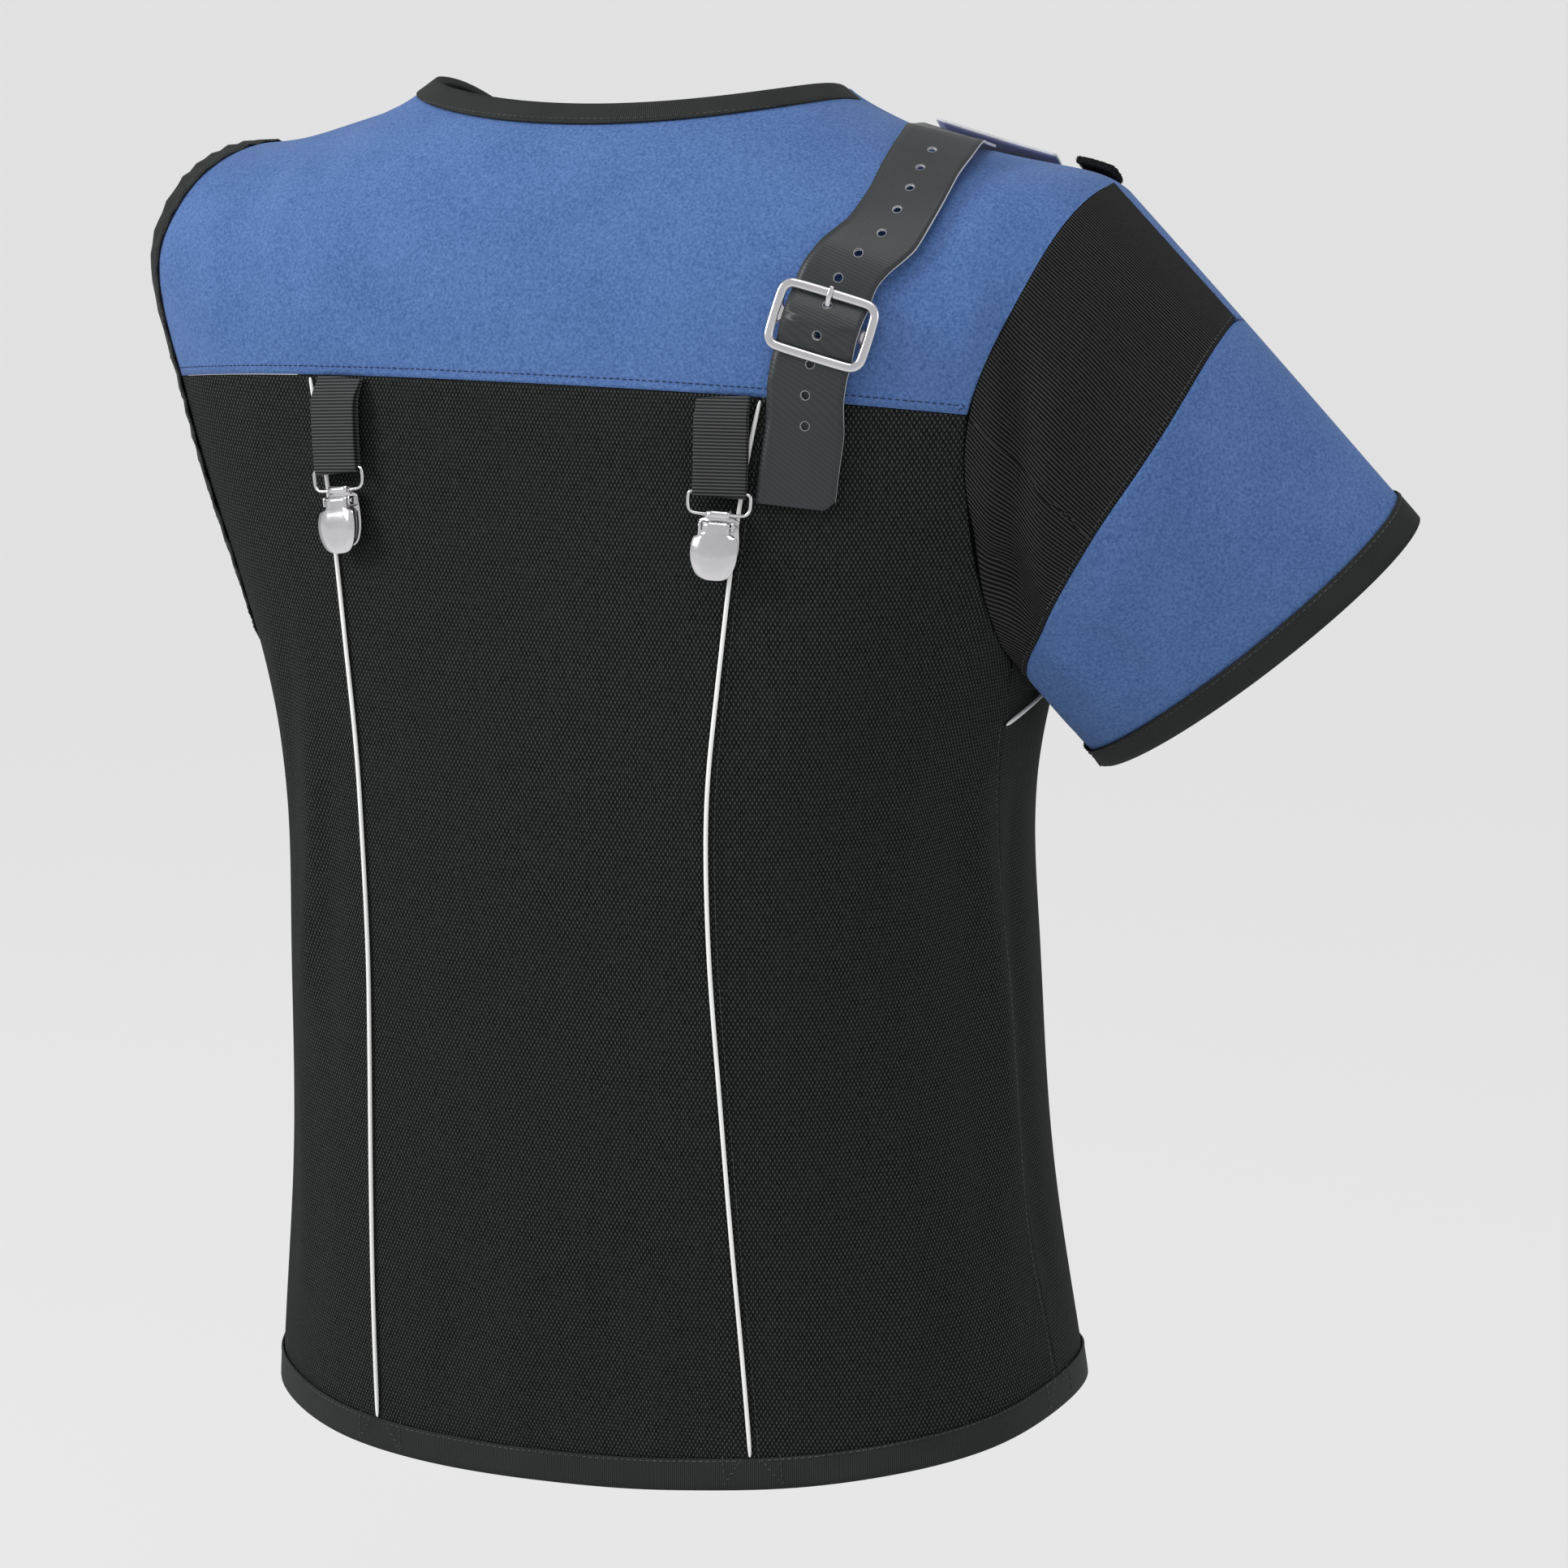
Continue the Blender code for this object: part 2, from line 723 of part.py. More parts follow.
def open_armhole(side):
    shoulder = way_where(side, lambda turn, station: turn >= -SHOULDER_SEAM_TURN)
    yoke = way_where(side, lambda turn, station: station >= YOKE_SEAM)
    under = way_where(
        side,
        lambda turn, station: (station > SEAM_TOP) & (turn <= smooth(SIDE_SEAM, "turn", station)),
    )
    ways = joined(
        between(-shoulder, 0, SHOULDER_TO_TOP),
        between(0, yoke, TOP_TO_YOKE),
        between(yoke, under, YOKE_TO_SIDE),
        between(under, 1, SIDE_TO_BOTTOM),
        between(1, 2 - shoulder, BOTTOM_TO_SHOULDER),
    )[:-1]
    edge = armhole(side, ways)
    points, normals = torso(*edge.T), outward(torso, *edge.T)
    run = np.roll(points, -1, 0) - np.roll(points, 1, 0)
    into = unit(np.cross(normals, run))
    into *= np.sign((into * (points - points.mean(0))).sum(-1, keepdims=True))
    inset = np.stack(shifted(torso, *edge.T, into * ARMHOLE_BINDING), -1)
    inset[0] = place(side, SHOULDER_SEAM_TURN, inset[0, 1])
    inset[AT_YOKE, 1] = YOKE_SEAM
    inset[AT_SIDE] = side_line(side, inset[AT_SIDE, 1])
    return Armhole(ways, edge, inset)


def side_line(side, stations):
    return place(side, smooth(SIDE_SEAM, "turn", stations), stations)


def shoulder_line(side, stations):
    return place(side, SHOULDER_SEAM_TURN, stations)


def piping_line(side, stations):
    return place(side, CENTRE_BACK - smooth(PIPING_SEAM, "turn", stations), stations)


def opening_line(side, stations):
    """The front opening's edge, a fixed distance from the centre front."""
    beside = np.degrees(FRONT_EDGE / smooth(RINGS, "front_depth", stations))
    return place(side, CENTRE_FRONT + beside, stations)


def level(start, end, steps):
    """Straight run between two places."""
    return start + (end - start) * between(0, 1, steps)[:, None]


# Steps along the seams
ARMHOLES = {side: open_armhole(side) for side in (1, -1)}


def seam_top(side):
    """Station where the piped front seam meets the side seam."""
    return getattr(FRONT_SEAM[0], "left" if side > 0 else "right")


def front_seam(side):
    """The piped front seam, from the side seam to the front edge."""
    column = "left" if side > 0 else "right"
    start = side_line(side, seam_top(side))[0]
    end = opening_line(side, getattr(FRONT_SEAM[-1], column))[0]
    share = (ARMHOLES[side].inset[AT_BAND, 0] - start) / (end - start)
    shares = joined(between(0, share, AT_BAND - AT_SIDE), between(share, 1, BAND_STEPS))
    stations = smooth(FRONT_SEAM, column, shares, "share")
    return np.stack([start + (end - start) * shares, stations], -1)


def yoke_bottom(side):
    """The yoke seam from the armhole's inset line to the piping."""
    start = ARMHOLES[side].inset[AT_YOKE]
    return level(start, piping_line(side, YOKE_SEAM), BACK_SIDE_STEPS)


def make_back():
    shoulder = shoulder_line(1, between(ARMHOLES[1].inset[0, 1], NECK_ROW, SHOULDER_STEPS))
    top = joined(shoulder, neck_row(NECK_ROW))
    top = joined(top, shoulder_line(-1, between(NECK_ROW, ARMHOLES[-1].inset[0, 1], SHOULDER_STEPS)))
    middle = level(piping_line(1, YOKE_SEAM), piping_line(-1, YOKE_SEAM), BACK_STEPS)
    seam = joined(yoke_bottom(1), middle, yoke_bottom(-1)[::-1])
    arms = {side: ARMHOLES[side].inset[: AT_YOKE + 1] for side in (1, -1)}
    grids = [patch(arms[1], arms[-1], top, seam), np.stack([neck_row(0.0), neck_row(NECK_ROW)])]
    grids += [np.stack([ARMHOLES[side].edge[: AT_YOKE + 1], arms[side]]) for side in (1, -1)]
    cloth("back_yoke", torso, grids, SUEDE)
    stations = between(YOKE_SEAM, HEM_ROW, YOKE_TO_SIDE + 1 + SIDE_STEPS)
    lines = {side: piping_line(side, stations) for side in (1, -1)}
    above_hem = patch(lines[1], lines[-1], middle, back_row(HEM_ROW))
    grids = [above_hem, np.stack([back_row(HEM_ROW), back_row(HEM)])]
    cloth("back_centre", torso, grids, CANVAS)
    for side, name in ((1, "left"), (-1, "right")):
        hole = ARMHOLES[side]
        arm = hole.inset[AT_YOKE : AT_SIDE + 1]
        seam_stations = np.concatenate([[arm[-1, 1]], between(seam_top(side), HEM_ROW, SIDE_STEPS)])
        edge = joined(arm, side_line(side, seam_stations))
        grids = [patch(edge, lines[side], yoke_bottom(side), back_side_row(side, HEM_ROW))]
        grids.append(np.stack([hole.edge[AT_YOKE : AT_SIDE + 1], arm]))
        grids.append(np.stack([back_side_row(side, HEM_ROW), back_side_row(side, HEM)]))
        cloth("back_side_" + name, torso, grids, CANVAS)


def neck_row(station):
    return level(shoulder_line(1, station), shoulder_line(-1, station), NECK_BACK_STEPS)


def front_neck_row(side, station):
    return level(shoulder_line(side, station), opening_line(side, station), NECK_FRONT_STEPS)


def back_row(station):
    return level(piping_line(1, station), piping_line(-1, station), BACK_STEPS)


def back_side_row(side, station):
    return level(side_line(side, station), piping_line(side, station), BACK_SIDE_STEPS)


def front_row(side, station):
    return level(side_line(side, station), opening_line(side, station), AT_BAND - AT_SIDE + BAND_STEPS)


def make_fronts():
    for side, name in ((1, "left"), (-1, "right")):
        hole = ARMHOLES[side]
        arm = np.concatenate([hole.inset[:1], hole.inset[:AT_BAND - 1 : -1]])
        shoulder = shoulder_line(side, between(arm[0, 1], NECK_ROW, SHOULDER_STEPS))
        band = level(arm[-1], opening_line(side, BAND_STATION), BAND_STEPS)
        opening = opening_line(side, between(NECK_ROW, BAND_STATION, len(arm) - 1))
        grids = [patch(arm, opening, joined(shoulder, front_neck_row(side, NECK_ROW)), band)]
        grids.append(np.stack([front_neck_row(side, 0.0), front_neck_row(side, NECK_ROW)]))
        grids.append(np.stack([joined(hole.inset[AT_SIDE : AT_BAND + 1], band), front_seam(side)]))
        around = list(range(AT_SIDE, ALL_ROUND)) + [0]
        grids.append(np.stack([hole.edge[around], hole.inset[around]]))
        cloth("front_upper_" + name, torso, grids, CANVAS)
        edge = side_line(side, between(seam_top(side), HEM_ROW, SIDE_STEPS))
        opening = opening_line(side, between(front_seam(side)[-1, 1], HEM_ROW, SIDE_STEPS))
        grids = [patch(edge, opening, front_seam(side), front_row(side, HEM_ROW))]
        grids.append(np.stack([front_row(side, HEM_ROW), front_row(side, HEM)]))
        cloth("front_lower_" + name, torso, grids, CANVAS)


# Bindings: a tape folded over an edge


def binding(name, surface, edge, inset, closed):
    """A folded tape round an edge, with its legs over and under the cloth as far as a line inside it."""
    starts, ends = surface(*edge.T), surface(*inset.T)
    edge_out, inset_out = outward(surface, *edge.T), outward(surface, *inset.T)
    into = unit(ends - starts)
    lip, rim = starts - into * SEAM_SIDE, starts - into * (SEAM_SIDE + TAPE)
    over, under = OVER_PANEL, -CLOTH - UNDER_PANEL
    loops = [lip + edge_out * over, ends + inset_out * over]
    loops += [ends + inset_out * (over + TAPE), rim + edge_out * (over + TAPE)]
    loops += [rim + edge_out * (under - TAPE), ends + inset_out * (under - TAPE)]
    loops += [ends + inset_out * under, lip + edge_out * under]
    size, last = len(loops), len(edge) - 1
    points = np.stack(loops, 1)[: last if closed else last + 1].reshape(-1, 3)
    faces = []
    for k in range(last):
        n = (k + 1) % last if closed else k + 1
        first = leans_up(inset[k + 1] - edge[k]) >= leans_up(inset[k] - edge[k + 1])
        for j in range(size):
            a, b, c, d = k * size + j, k * size + (j + 1) % size, n * size + (j + 1) % size, n * size + j
            from_a = (j % 4 == 0) == first if j % 2 == 0 else j < size - 1
            faces += [(a, b, c), (a, c, d)] if from_a else [(a, b, d), (b, c, d)]
    if not closed:
        faces.append(tuple(reversed(range(size))))
        faces.append(tuple(range(last * size, (last + 1) * size)))
    add_object(name, points, faces, BINDING)


def make_bindings():
    rows = [joined(front_neck_row(1, s)[::-1], neck_row(s), front_neck_row(-1, s)) for s in (0.0, NECK_ROW)]
    binding("neck_binding", torso, *rows, False)
    around = list(range(ALL_ROUND)) + [0]
    binding("armhole_binding_left", torso, ARMHOLES[1].edge[around], ARMHOLES[1].inset[around], True)
    binding("hem_binding", torso, hem_row(HEM), hem_row(HEM_ROW), False)
    turns = lower_sleeve_turns()
    edge = np.stack([turns, np.ones(len(turns))], -1)
    binding("cuff_binding", sleeve, edge, np.stack([turns, cuff_share(turns)], -1), True)


def hem_row(station):
    """The hem from the left front edge round the back to the right front edge."""
    left, right = back_side_row(1, station), back_side_row(-1, station)[::-1]
    return joined(front_row(1, station)[::-1], left, back_row(station), right, front_row(-1, station))


# Sleeve


def cap_seam(turns):
    """Share of the way down the sleeve where its upper pieces end."""
    turns = turns % 360
    return smooth(CAP_SEAM, "share", np.where(turns <= 180, turns, 360 - turns), "turn")


def cuff_share(turns):
    """Share of the way down the sleeve where the cuff's binding begins."""
    return 1 - CUFF_BINDING / np.linalg.norm(sleeve(turns, 1.0) - sleeve(turns, 0.0), axis=-1)


def upper_sleeve_turns(name):
    ways = ARMHOLES[-1].ways
    if name == "back":
        return sleeve_turns(ways[AT_TOP : AT_BOTTOM + 1])
    around = list(range(AT_BOTTOM, ALL_ROUND)) + list(range(AT_TOP))
    return np.append(np.append(180.0, sleeve_turns(ways[around[1:]])), 0.0)


def lower_sleeve_turns():
    return joined(upper_sleeve_turns("back")[::-1], 360 + upper_sleeve_turns("front")[::-1])


def sleeve_grid(turns, starts, ends, steps):
    top, bottom = np.stack([turns, starts], -1), np.stack([turns, ends], -1)
    return top[None] + (bottom - top)[None] * between(0, 1, steps)[:, None, None]


def make_sleeve():
    for name, finish in (("back", SLEEVE_CLOTH), ("front", SUEDE)):
        turns = upper_sleeve_turns(name)
        grid = sleeve_grid(turns, np.zeros(len(turns)), cap_seam(turns), 5)
        cloth("sleeve_upper_" + name, sleeve, [grid], finish)
    turns = lower_sleeve_turns()
    ends = cuff_share(turns)
    grids = [sleeve_grid(turns, cap_seam(turns), ends, 6), sleeve_grid(turns, ends, np.ones(len(turns)), 1)]
    cloth("sleeve_lower", sleeve, grids, SUEDE)


# Cords on the seams


def cord(name, surface, line, radius, lift, finish, sides=6):
    """A round cord lying over a line of the surface."""
    turn, along = line[:, 0], line[:, 1]
    points, normals = surface(turn, along), outward(surface, turn, along)
    across = unit(np.cross(normals, unit(np.gradient(points, axis=0))))
    middle = points + normals * (lift + radius)
    angles = np.radians(np.arange(sides) * 360 / sides + 30)
    loops = [middle + radius * (math.cos(a) * across + math.sin(a) * normals) for a in angles]
    return sweep(name, np.stack(loops, 1), finish)


def make_piping():
    for side, name in ((1, "left"), (-1, "right")):
        stations = between(YOKE_SEAM, HEM_ROW, YOKE_TO_SIDE + 1 + SIDE_STEPS)
        stations[0] += PIPING_RADIUS / 2
        stations[-1] -= PIPING_RADIUS / 2
        cord("piping_back_" + name, torso, piping_line(side, stations), PIPING_RADIUS, OVER_PANEL, PIPING)
        cord("piping_front_" + name, torso, front_seam(side), PIPING_RADIUS, OVER_PANEL, PIPING)


# Ribbons: a flat strip swept through places of its middle line


class Frame(NamedTuple):
    """A place on the body with its directions down the strip, across it and out."""

    origin: np.ndarray
    down: np.ndarray
    across: np.ndarray
    out: np.ndarray

    def at(self, down, out, across=0.0):
        return self.origin + self.down * down + self.out * out + self.across * across


def ribbon(name, middle, across, normals, half_widths, thick, finish, pivot=None):
    """A strip of even thickness with its own half width at each point of its middle line."""
    half_widths = np.broadcast_to(np.asarray(half_widths, float), len(middle))[:, None]
    corners = []
    for side, height in ((-1, -0.5), (1, -0.5), (1, 0.5), (-1, 0.5)):
        corners.append(middle + across * side * half_widths + normals * height * thick)
    return sweep(name, np.stack(corners, 1), finish, pivot=pivot)


def bent_strip(name, frame, path, half_widths, thick, finish, pivot=None):
    """A strip bent along a path of (down, out) places in one frame."""
    path = np.asarray(path, float)
    run = unit(np.gradient(path, axis=0))
    middle = np.array([frame.at(down, out) for down, out in path])
    normals = np.array([frame.down * -r[1] + frame.out * r[0] for r in run])
    across = np.tile(frame.across, (len(path), 1))
    return ribbon(name, middle, across, normals, half_widths, thick, finish, pivot)


def arc(centre, radius, start, end, steps):
    """Points of an arc in (down, out) places, with angles in degrees from down towards out."""
    angles = np.radians(between(start, end, steps))
    return [(centre[0] + radius * math.cos(a), centre[1] + radius * math.sin(a)) for a in angles]


# Webbing tabs and suspender clips


def tab_frames(turn, lean, length):
    """Frames down a tab that starts at the yoke seam and bends sideways by its lean."""
    frames = []
    steps = 8
    start = YOKE_SEAM + 0.0008
    for i in range(steps + 1):
        down_way = length * i / steps
        spot = (turn, start + down_way * 0.93)
        point, out = torso(*spot), outward(torso, *spot)
        down = unit(torso(spot[0], spot[1] + 0.002) - torso(spot[0], spot[1] - 0.002))
        level = unit(np.cross(out, down))
        bend = math.radians(lean) * i / steps
        sideways = length * (1 - math.cos(bend)) / max(abs(math.radians(lean)), 1e-6) * (1 if lean > 0 else -1)
        direction = unit(down * math.cos(bend) + level * math.sin(bend))
        frames.append(Frame(point + level * sideways, direction, unit(np.cross(out, direction)), out))
    return frames


def make_tab(name, turn, lean):
    """A folded webbing tab. Returns the frame at its fold, whose origin is on the panel."""
    frames = tab_frames(turn, lean, WEBBING_LENGTH)
    low = OVER_PANEL + WEBBING_THICK / 2
    fold = WIRE_RADIUS + FOLD_GAP + WEBBING_THICK / 2
    path = []
    for i, frame in enumerate(frames):
        rise = (BAIL_LIFT - fold - low) * ease(i / TAB_RISE_STEPS)
        path.append((frame, 0.0, low + rise, frame.out))
    end = frames[-1]
    for down, out in arc((0, BAIL_LIFT), fold, -90, 90, 6)[1:-1]:
        path.append((end, down, out, unit(end.down * -down - end.out * (out - BAIL_LIFT))))
    for i, frame in reversed(list(enumerate(frames))):
        high = low + WEBBING_THICK + FOLD_GAP
        rise = (BAIL_LIFT + fold - high) * ease(i / TAB_RISE_STEPS)
        path.append((frame, 0.0, high + rise, -frame.out))
    middle = np.array([frame.at(down, out) for frame, down, out, normal in path])
    across = np.array([frame.across for frame, down, out, normal in path])
    normals = np.array([normal for frame, down, out, normal in path])
    ribbon(name, middle, across, normals, WEBBING_WIDTH / 2, WEBBING_THICK, WEBBING)
    return end


def make_bail(name, frame):
    """A closed wire loop: its top bar lies in the fold and its lower bar in the clip."""
    half = BAIL_WIDTH / 2 - WIRE_RADIUS
    corners = ((0, half, 0.002), (0, -half, 0.002), (BAIL_LENGTH, -half, 0.004), (BAIL_LENGTH, half, 0.004))
    loop = rounded_loop(corners, 3)
    return wire_ring(name, frame, loop, BAIL_LIFT, WIRE_RADIUS, NICKEL)


def rounded_loop(corners, steps):
    """Points of a rectangle with round corners, given as (down, across, radius) in order round it."""
    points = []
    count = len(corners)
    for i, (down, across, radius) in enumerate(corners):
        here = np.array([down, across])
        before = unit(np.array(corners[i - 1][:2]) - here)
        after = unit(np.array(corners[(i + 1) % count][:2]) - here)
        centre = here + (before + after) * radius
        for step in range(steps + 1):
            angle = math.pi / 2 * step / steps
            points.append(centre - radius * (after * math.cos(angle) + before * math.sin(angle)))
    return np.array(points)


def wire_ring(name, frame, loop, lift, radius, finish):
    """A closed round wire along a loop of (down, across) points."""
    run = unit(np.roll(loop, -1, 0) - np.roll(loop, 1, 0))
    sections = []
    for (down, across), (run_down, run_across) in zip(loop, run):
        side = unit(frame.down * run_across - frame.across * run_down)
        middle = frame.at(down, lift, across)
        angles = np.radians(np.arange(6) * 60)
        sections.append([middle + radius * (math.cos(a) * side + math.sin(a) * frame.out) for a in angles])
    return sweep(name, sections, finish, closed=True, pivot=frame.at(0, lift))


def make_clip(name, frame):
    """A clip with a folded back plate, two ears and a pin, and its lever."""
    bar = (BAIL_LENGTH, BAIL_LIFT)
    curl = WIRE_RADIUS + FOLD_GAP + SHEET_METAL / 2
    pin = (bar[0] + PIN_DOWN, bar[1] + PIN_OUT)
    back = bar[1] - curl
    path = arc(bar, curl, 55, 270, 9) + [(bar[0] + down, back) for down in CLIP_BACK_DOWNS]
    widths = [0.0055] * 10 + [0.0090, 0.0095, 0.0100, 0.0088, 0.0070, 0.0040]
    body = bent_strip("clip_body_" + name, frame, path, widths, SHEET_METAL, NICKEL, frame.at(*bar))
    for side in (-1, 1):
        ear = ear_block(frame, pin, back, side)
        join_solid(body, ear)
    join_solid(body, pin_rod(frame, pin))
    knuckle = PIN_RADIUS + FOLD_GAP + SHEET_METAL / 2
    face = pin[1] + knuckle
    path = arc(pin, knuckle, 300, 90, 9)
    path += [(pin[0] + down, face + rise) for down, rise in LEVER_FACE]
    widths = [0.0062] * 10 + [row_width for row_width in LEVER_WIDTHS]
    bent_strip("clip_lever_" + name, frame, path, widths, SHEET_METAL, NICKEL, frame.at(*pin))




def box_points(frame, downs, outs, acrosses):
    corners = ((downs[0], outs[0]), (downs[1], outs[0]), (downs[1], outs[1]), (downs[0], outs[1]))
    return [[frame.at(down, out, across) for down, out in corners] for across in acrosses]


def guide(made):
    """Keeps a helper out of the part."""
    made.hide_render = True
    made.display_type = "WIRE"
    return made


def ear_block(frame, pin, back, side):
    acrosses = (side * EAR_INSIDE, side * (EAR_INSIDE + SHEET_METAL))
    downs = (pin[0] - EAR_LENGTH / 2, pin[0] + EAR_LENGTH / 2)
    sections = box_points(frame, downs, (back - SHEET_METAL / 4, pin[1] + 0.0018), acrosses)
    return guide(sweep("ear_guide", sections, NICKEL))


def pin_rod(frame, pin):
    half = EAR_INSIDE + SHEET_METAL + 0.0005
    angles = np.radians(np.arange(8) * 45)
    ring = [(pin[0] + PIN_RADIUS * math.cos(a), pin[1] + PIN_RADIUS * math.sin(a)) for a in angles]
    sections = [[frame.at(d, o, a) for d, o in ring] for a in (-half, half)]
    return guide(sweep("pin_guide", sections, NICKEL))


def join_solid(made, helper):
    union = made.modifiers.new(helper.name, "BOOLEAN")
    union.operation = "UNION"
    union.object = helper


# Strap and buckle


def strap_line():
    """Dense places of the strap's middle line: (turn, station) and the distance from the buckle's bar."""
    rows = np.arange(len(STRAP_LINE), dtype=float)
    fine = np.linspace(0, len(STRAP_LINE) - 1, 400)
    spots = []
    for name in ("turn", "station"):
        values = np.array([getattr(row, name) for row in STRAP_LINE])
        slope = np.gradient(values)
        i = np.clip(fine.astype(int), 0, len(rows) - 2)
        t = fine - i
        ends = (2 * t**3 - 3 * t**2 + 1) * values[i] + (3 * t**2 - 2 * t**3) * values[i + 1]
        spots.append(ends + (t**3 - 2 * t**2 + t) * slope[i] + (t**3 - t**2) * slope[i + 1])
    turn, station = spots
    points = torso(turn, station)
    gone = np.concatenate([[0], np.cumsum(np.linalg.norm(np.diff(points, axis=0), axis=1))])
    middle = gone[np.argmin(np.abs(turn - BUCKLE_TURN) + 1000 * (station < 0.12))]
    return turn, station, gone - middle




def strap_frame(along, length=0.002):
    """The strap's frame on the body at a distance from the buckle's bar, resting on its highest places."""
    turn, station, gone = strap_line()
    spot = float(np.interp(along, gone, turn)), float(np.interp(along, gone, station))
    ahead = np.interp(along + 0.004, gone, turn), np.interp(along + 0.004, gone, station)
    behind = np.interp(along - 0.004, gone, turn), np.interp(along - 0.004, gone, station)
    out = outward(torso, *spot)
    down = torso(*ahead) - torso(*behind)
    down = unit(down - out * (down @ out))
    across = np.cross(out, down)
    reach = [a * across * STRAP_WIDTH / 2 + d * down * length for a in REST_AT for d in REST_AT]
    beside = shifted(torso, np.full(len(reach), spot[0]), np.full(len(reach), spot[1]), np.array(reach))
    rest = max(0.0, ((torso(*beside) - torso(*spot)) @ out).max())
    return Frame(torso(*spot) + out * rest, down, across, out)


def strap_place(along, across, lift):
    """A place over the body beside the strap's line. Near the buckle the strap lies along its plane."""
    flat = BUCKLE_PLACE
    bent = strap_frame(along)
    share = ease((abs(along) - BUCKLE_HEIGHT / 2) / BUCKLE_HEIGHT)
    middle = flat.at(along, lift, across) * (1 - share) + bent.at(0, lift, across) * share
    out = unit(flat.out * (1 - share) + bent.out * share)
    return middle, out, unit(flat.down * (1 - share) + bent.down * share)


def strap_curve():
    """Places along the body and the strap's own length at them, both from the buckle's bar."""
    alongs = np.linspace(-STRAP_FRONT - 0.02, STRAP_TAIL + 0.02, 300)
    lifts = smooth(STRAP_LIFT, "lift", alongs, "along")
    points = np.array([strap_place(along, 0, lift)[0] for along, lift in zip(alongs, lifts)])
    gone = np.concatenate([[0], np.cumsum(np.linalg.norm(np.diff(points, axis=0), axis=1))])
    return alongs, gone - np.interp(0.0, alongs, gone)


def strap_rows(alongs, lengths, holes):
    """Distances along the strap of the rows of its mesh."""
    rows = [-STRAP_FRONT, STRAP_TAIL - TAIL_CHAMFER, STRAP_TAIL]
    rows += [hole + side * HOLE_CELL for hole in holes for side in (-1, 0, 1)]
    bends = np.interp(STRAP_BENDS, alongs, lengths)
    rows += [bend for bend in bends if min(abs(bend - hole) for hole in holes) > 1.2 * HOLE_CELL]
    return sorted(rows)


def strap_layout(alongs, lengths):
    """Flat mesh of the strap, as (length, across) points and faces, with its round holes."""
    holes = [LAST_HOLE - i * HOLE_PITCH for i in range(HOLE_COUNT)]
    rows = strap_rows(alongs, lengths, holes)
    half = STRAP_WIDTH / 2
    columns = [-half, -0.005, 0.0, 0.005, half]
    points = [(row, column) for row in rows for column in columns]
    points[-1] = (STRAP_TAIL, half - TAIL_CHAMFER)
    wide = len(columns)
    faces = []
    for i in range(len(rows) - 1):
        for j in range(wide - 1):
            near_hole = any(abs((rows[i] + rows[i + 1]) / 2 - hole) < HOLE_CELL for hole in holes)
            if not (near_hole and j in (1, 2)):
                faces.append((i * wide + j, i * wide + j + 1, (i + 1) * wide + j + 1, (i + 1) * wide + j))
    for hole in holes:
        i = int(np.argmin([abs(row - hole) for row in rows]))
        square = [(i - 1, 2), (i - 1, 3), (i, 3), (i + 1, 3), (i + 1, 2), (i + 1, 1), (i, 1), (i - 1, 1)]
        outside = [a * wide + b for a, b in square]
        first_point = len(points)
        for k in range(8):
            angle = math.radians(180 - 45 * k)
            points.append((hole + HOLE_RADIUS * math.cos(angle), HOLE_RADIUS * math.sin(angle)))
        for k in range(8):
            n = (k + 1) % 8
            faces.append((outside[k], outside[n], first_point + n, first_point + k))
    return np.array(points), faces


BUCKLE_PLACE = strap_frame(0.0, BUCKLE_HEIGHT / 2)


def make_strap():
    alongs, lengths = strap_curve()
    flat, faces = strap_layout(alongs, lengths)
    outer, inner = [], []
    for length, across in flat:
        along = float(np.interp(length, lengths, alongs))
        lift = float(smooth(STRAP_LIFT, "lift", along, "along"))
        point, out, down = strap_place(along, across, lift)
        step = 0.001
        ends = smooth(STRAP_LIFT, "lift", np.array([along - step, along + step]), "along")
        normal = unit(out - down * (ends[1] - ends[0]) / (2 * step))
        inner.append(point)
        outer.append(point + normal * STRAP_THICK)
    wall("strap", np.array(outer), np.array(inner), faces, COATED)


def make_buckle():
    frame = BUCKLE_PLACE
    half_width = (BUCKLE_WIDTH - BUCKLE_BAR_WIDTH) / 2
    half_height = (BUCKLE_HEIGHT - BUCKLE_BAR_WIDTH) / 2
    corner = BUCKLE_CORNER
    corners = ((-half_height, half_width, corner), (-half_height, -half_width, corner))
    corners += ((half_height, -half_width, corner), (half_height, half_width, corner))
    loop = rounded_loop(corners, 4)
    run = unit(np.roll(loop, -1, 0) - np.roll(loop, 1, 0))
    sections = []
    flat, thick = BUCKLE_BAR_WIDTH / 2, BUCKLE_BAR_THICK / 2
    profile = ((-flat, -thick), (flat, -thick), (flat, 0.2 * thick), (0.6 * flat, thick), (-0.6 * flat, thick), (-flat, 0.2 * thick))
    for (down, across), (run_down, run_across) in zip(loop, run):
        side = frame.down * run_across - frame.across * run_down
        middle = frame.at(down, BUCKLE_BAR_LIFT, across)
        sections.append([middle + side * a + frame.out * b for a, b in profile])
    made = sweep("buckle_frame", sections, NICKEL, closed=True)
    angles = np.radians(np.arange(8) * 45)
    radius = CENTRE_BAR_RADIUS
    ring = [(radius * math.cos(a), CENTRE_BAR_LIFT + radius * math.sin(a)) for a in angles]
    reach = half_width + flat / 3
    bar = guide(sweep("bar_guide", [[frame.at(d, o, a) for d, o in ring] for a in (-reach, reach)], NICKEL))
    join_solid(made, bar)
    make_prong(frame)
    make_chape(frame)


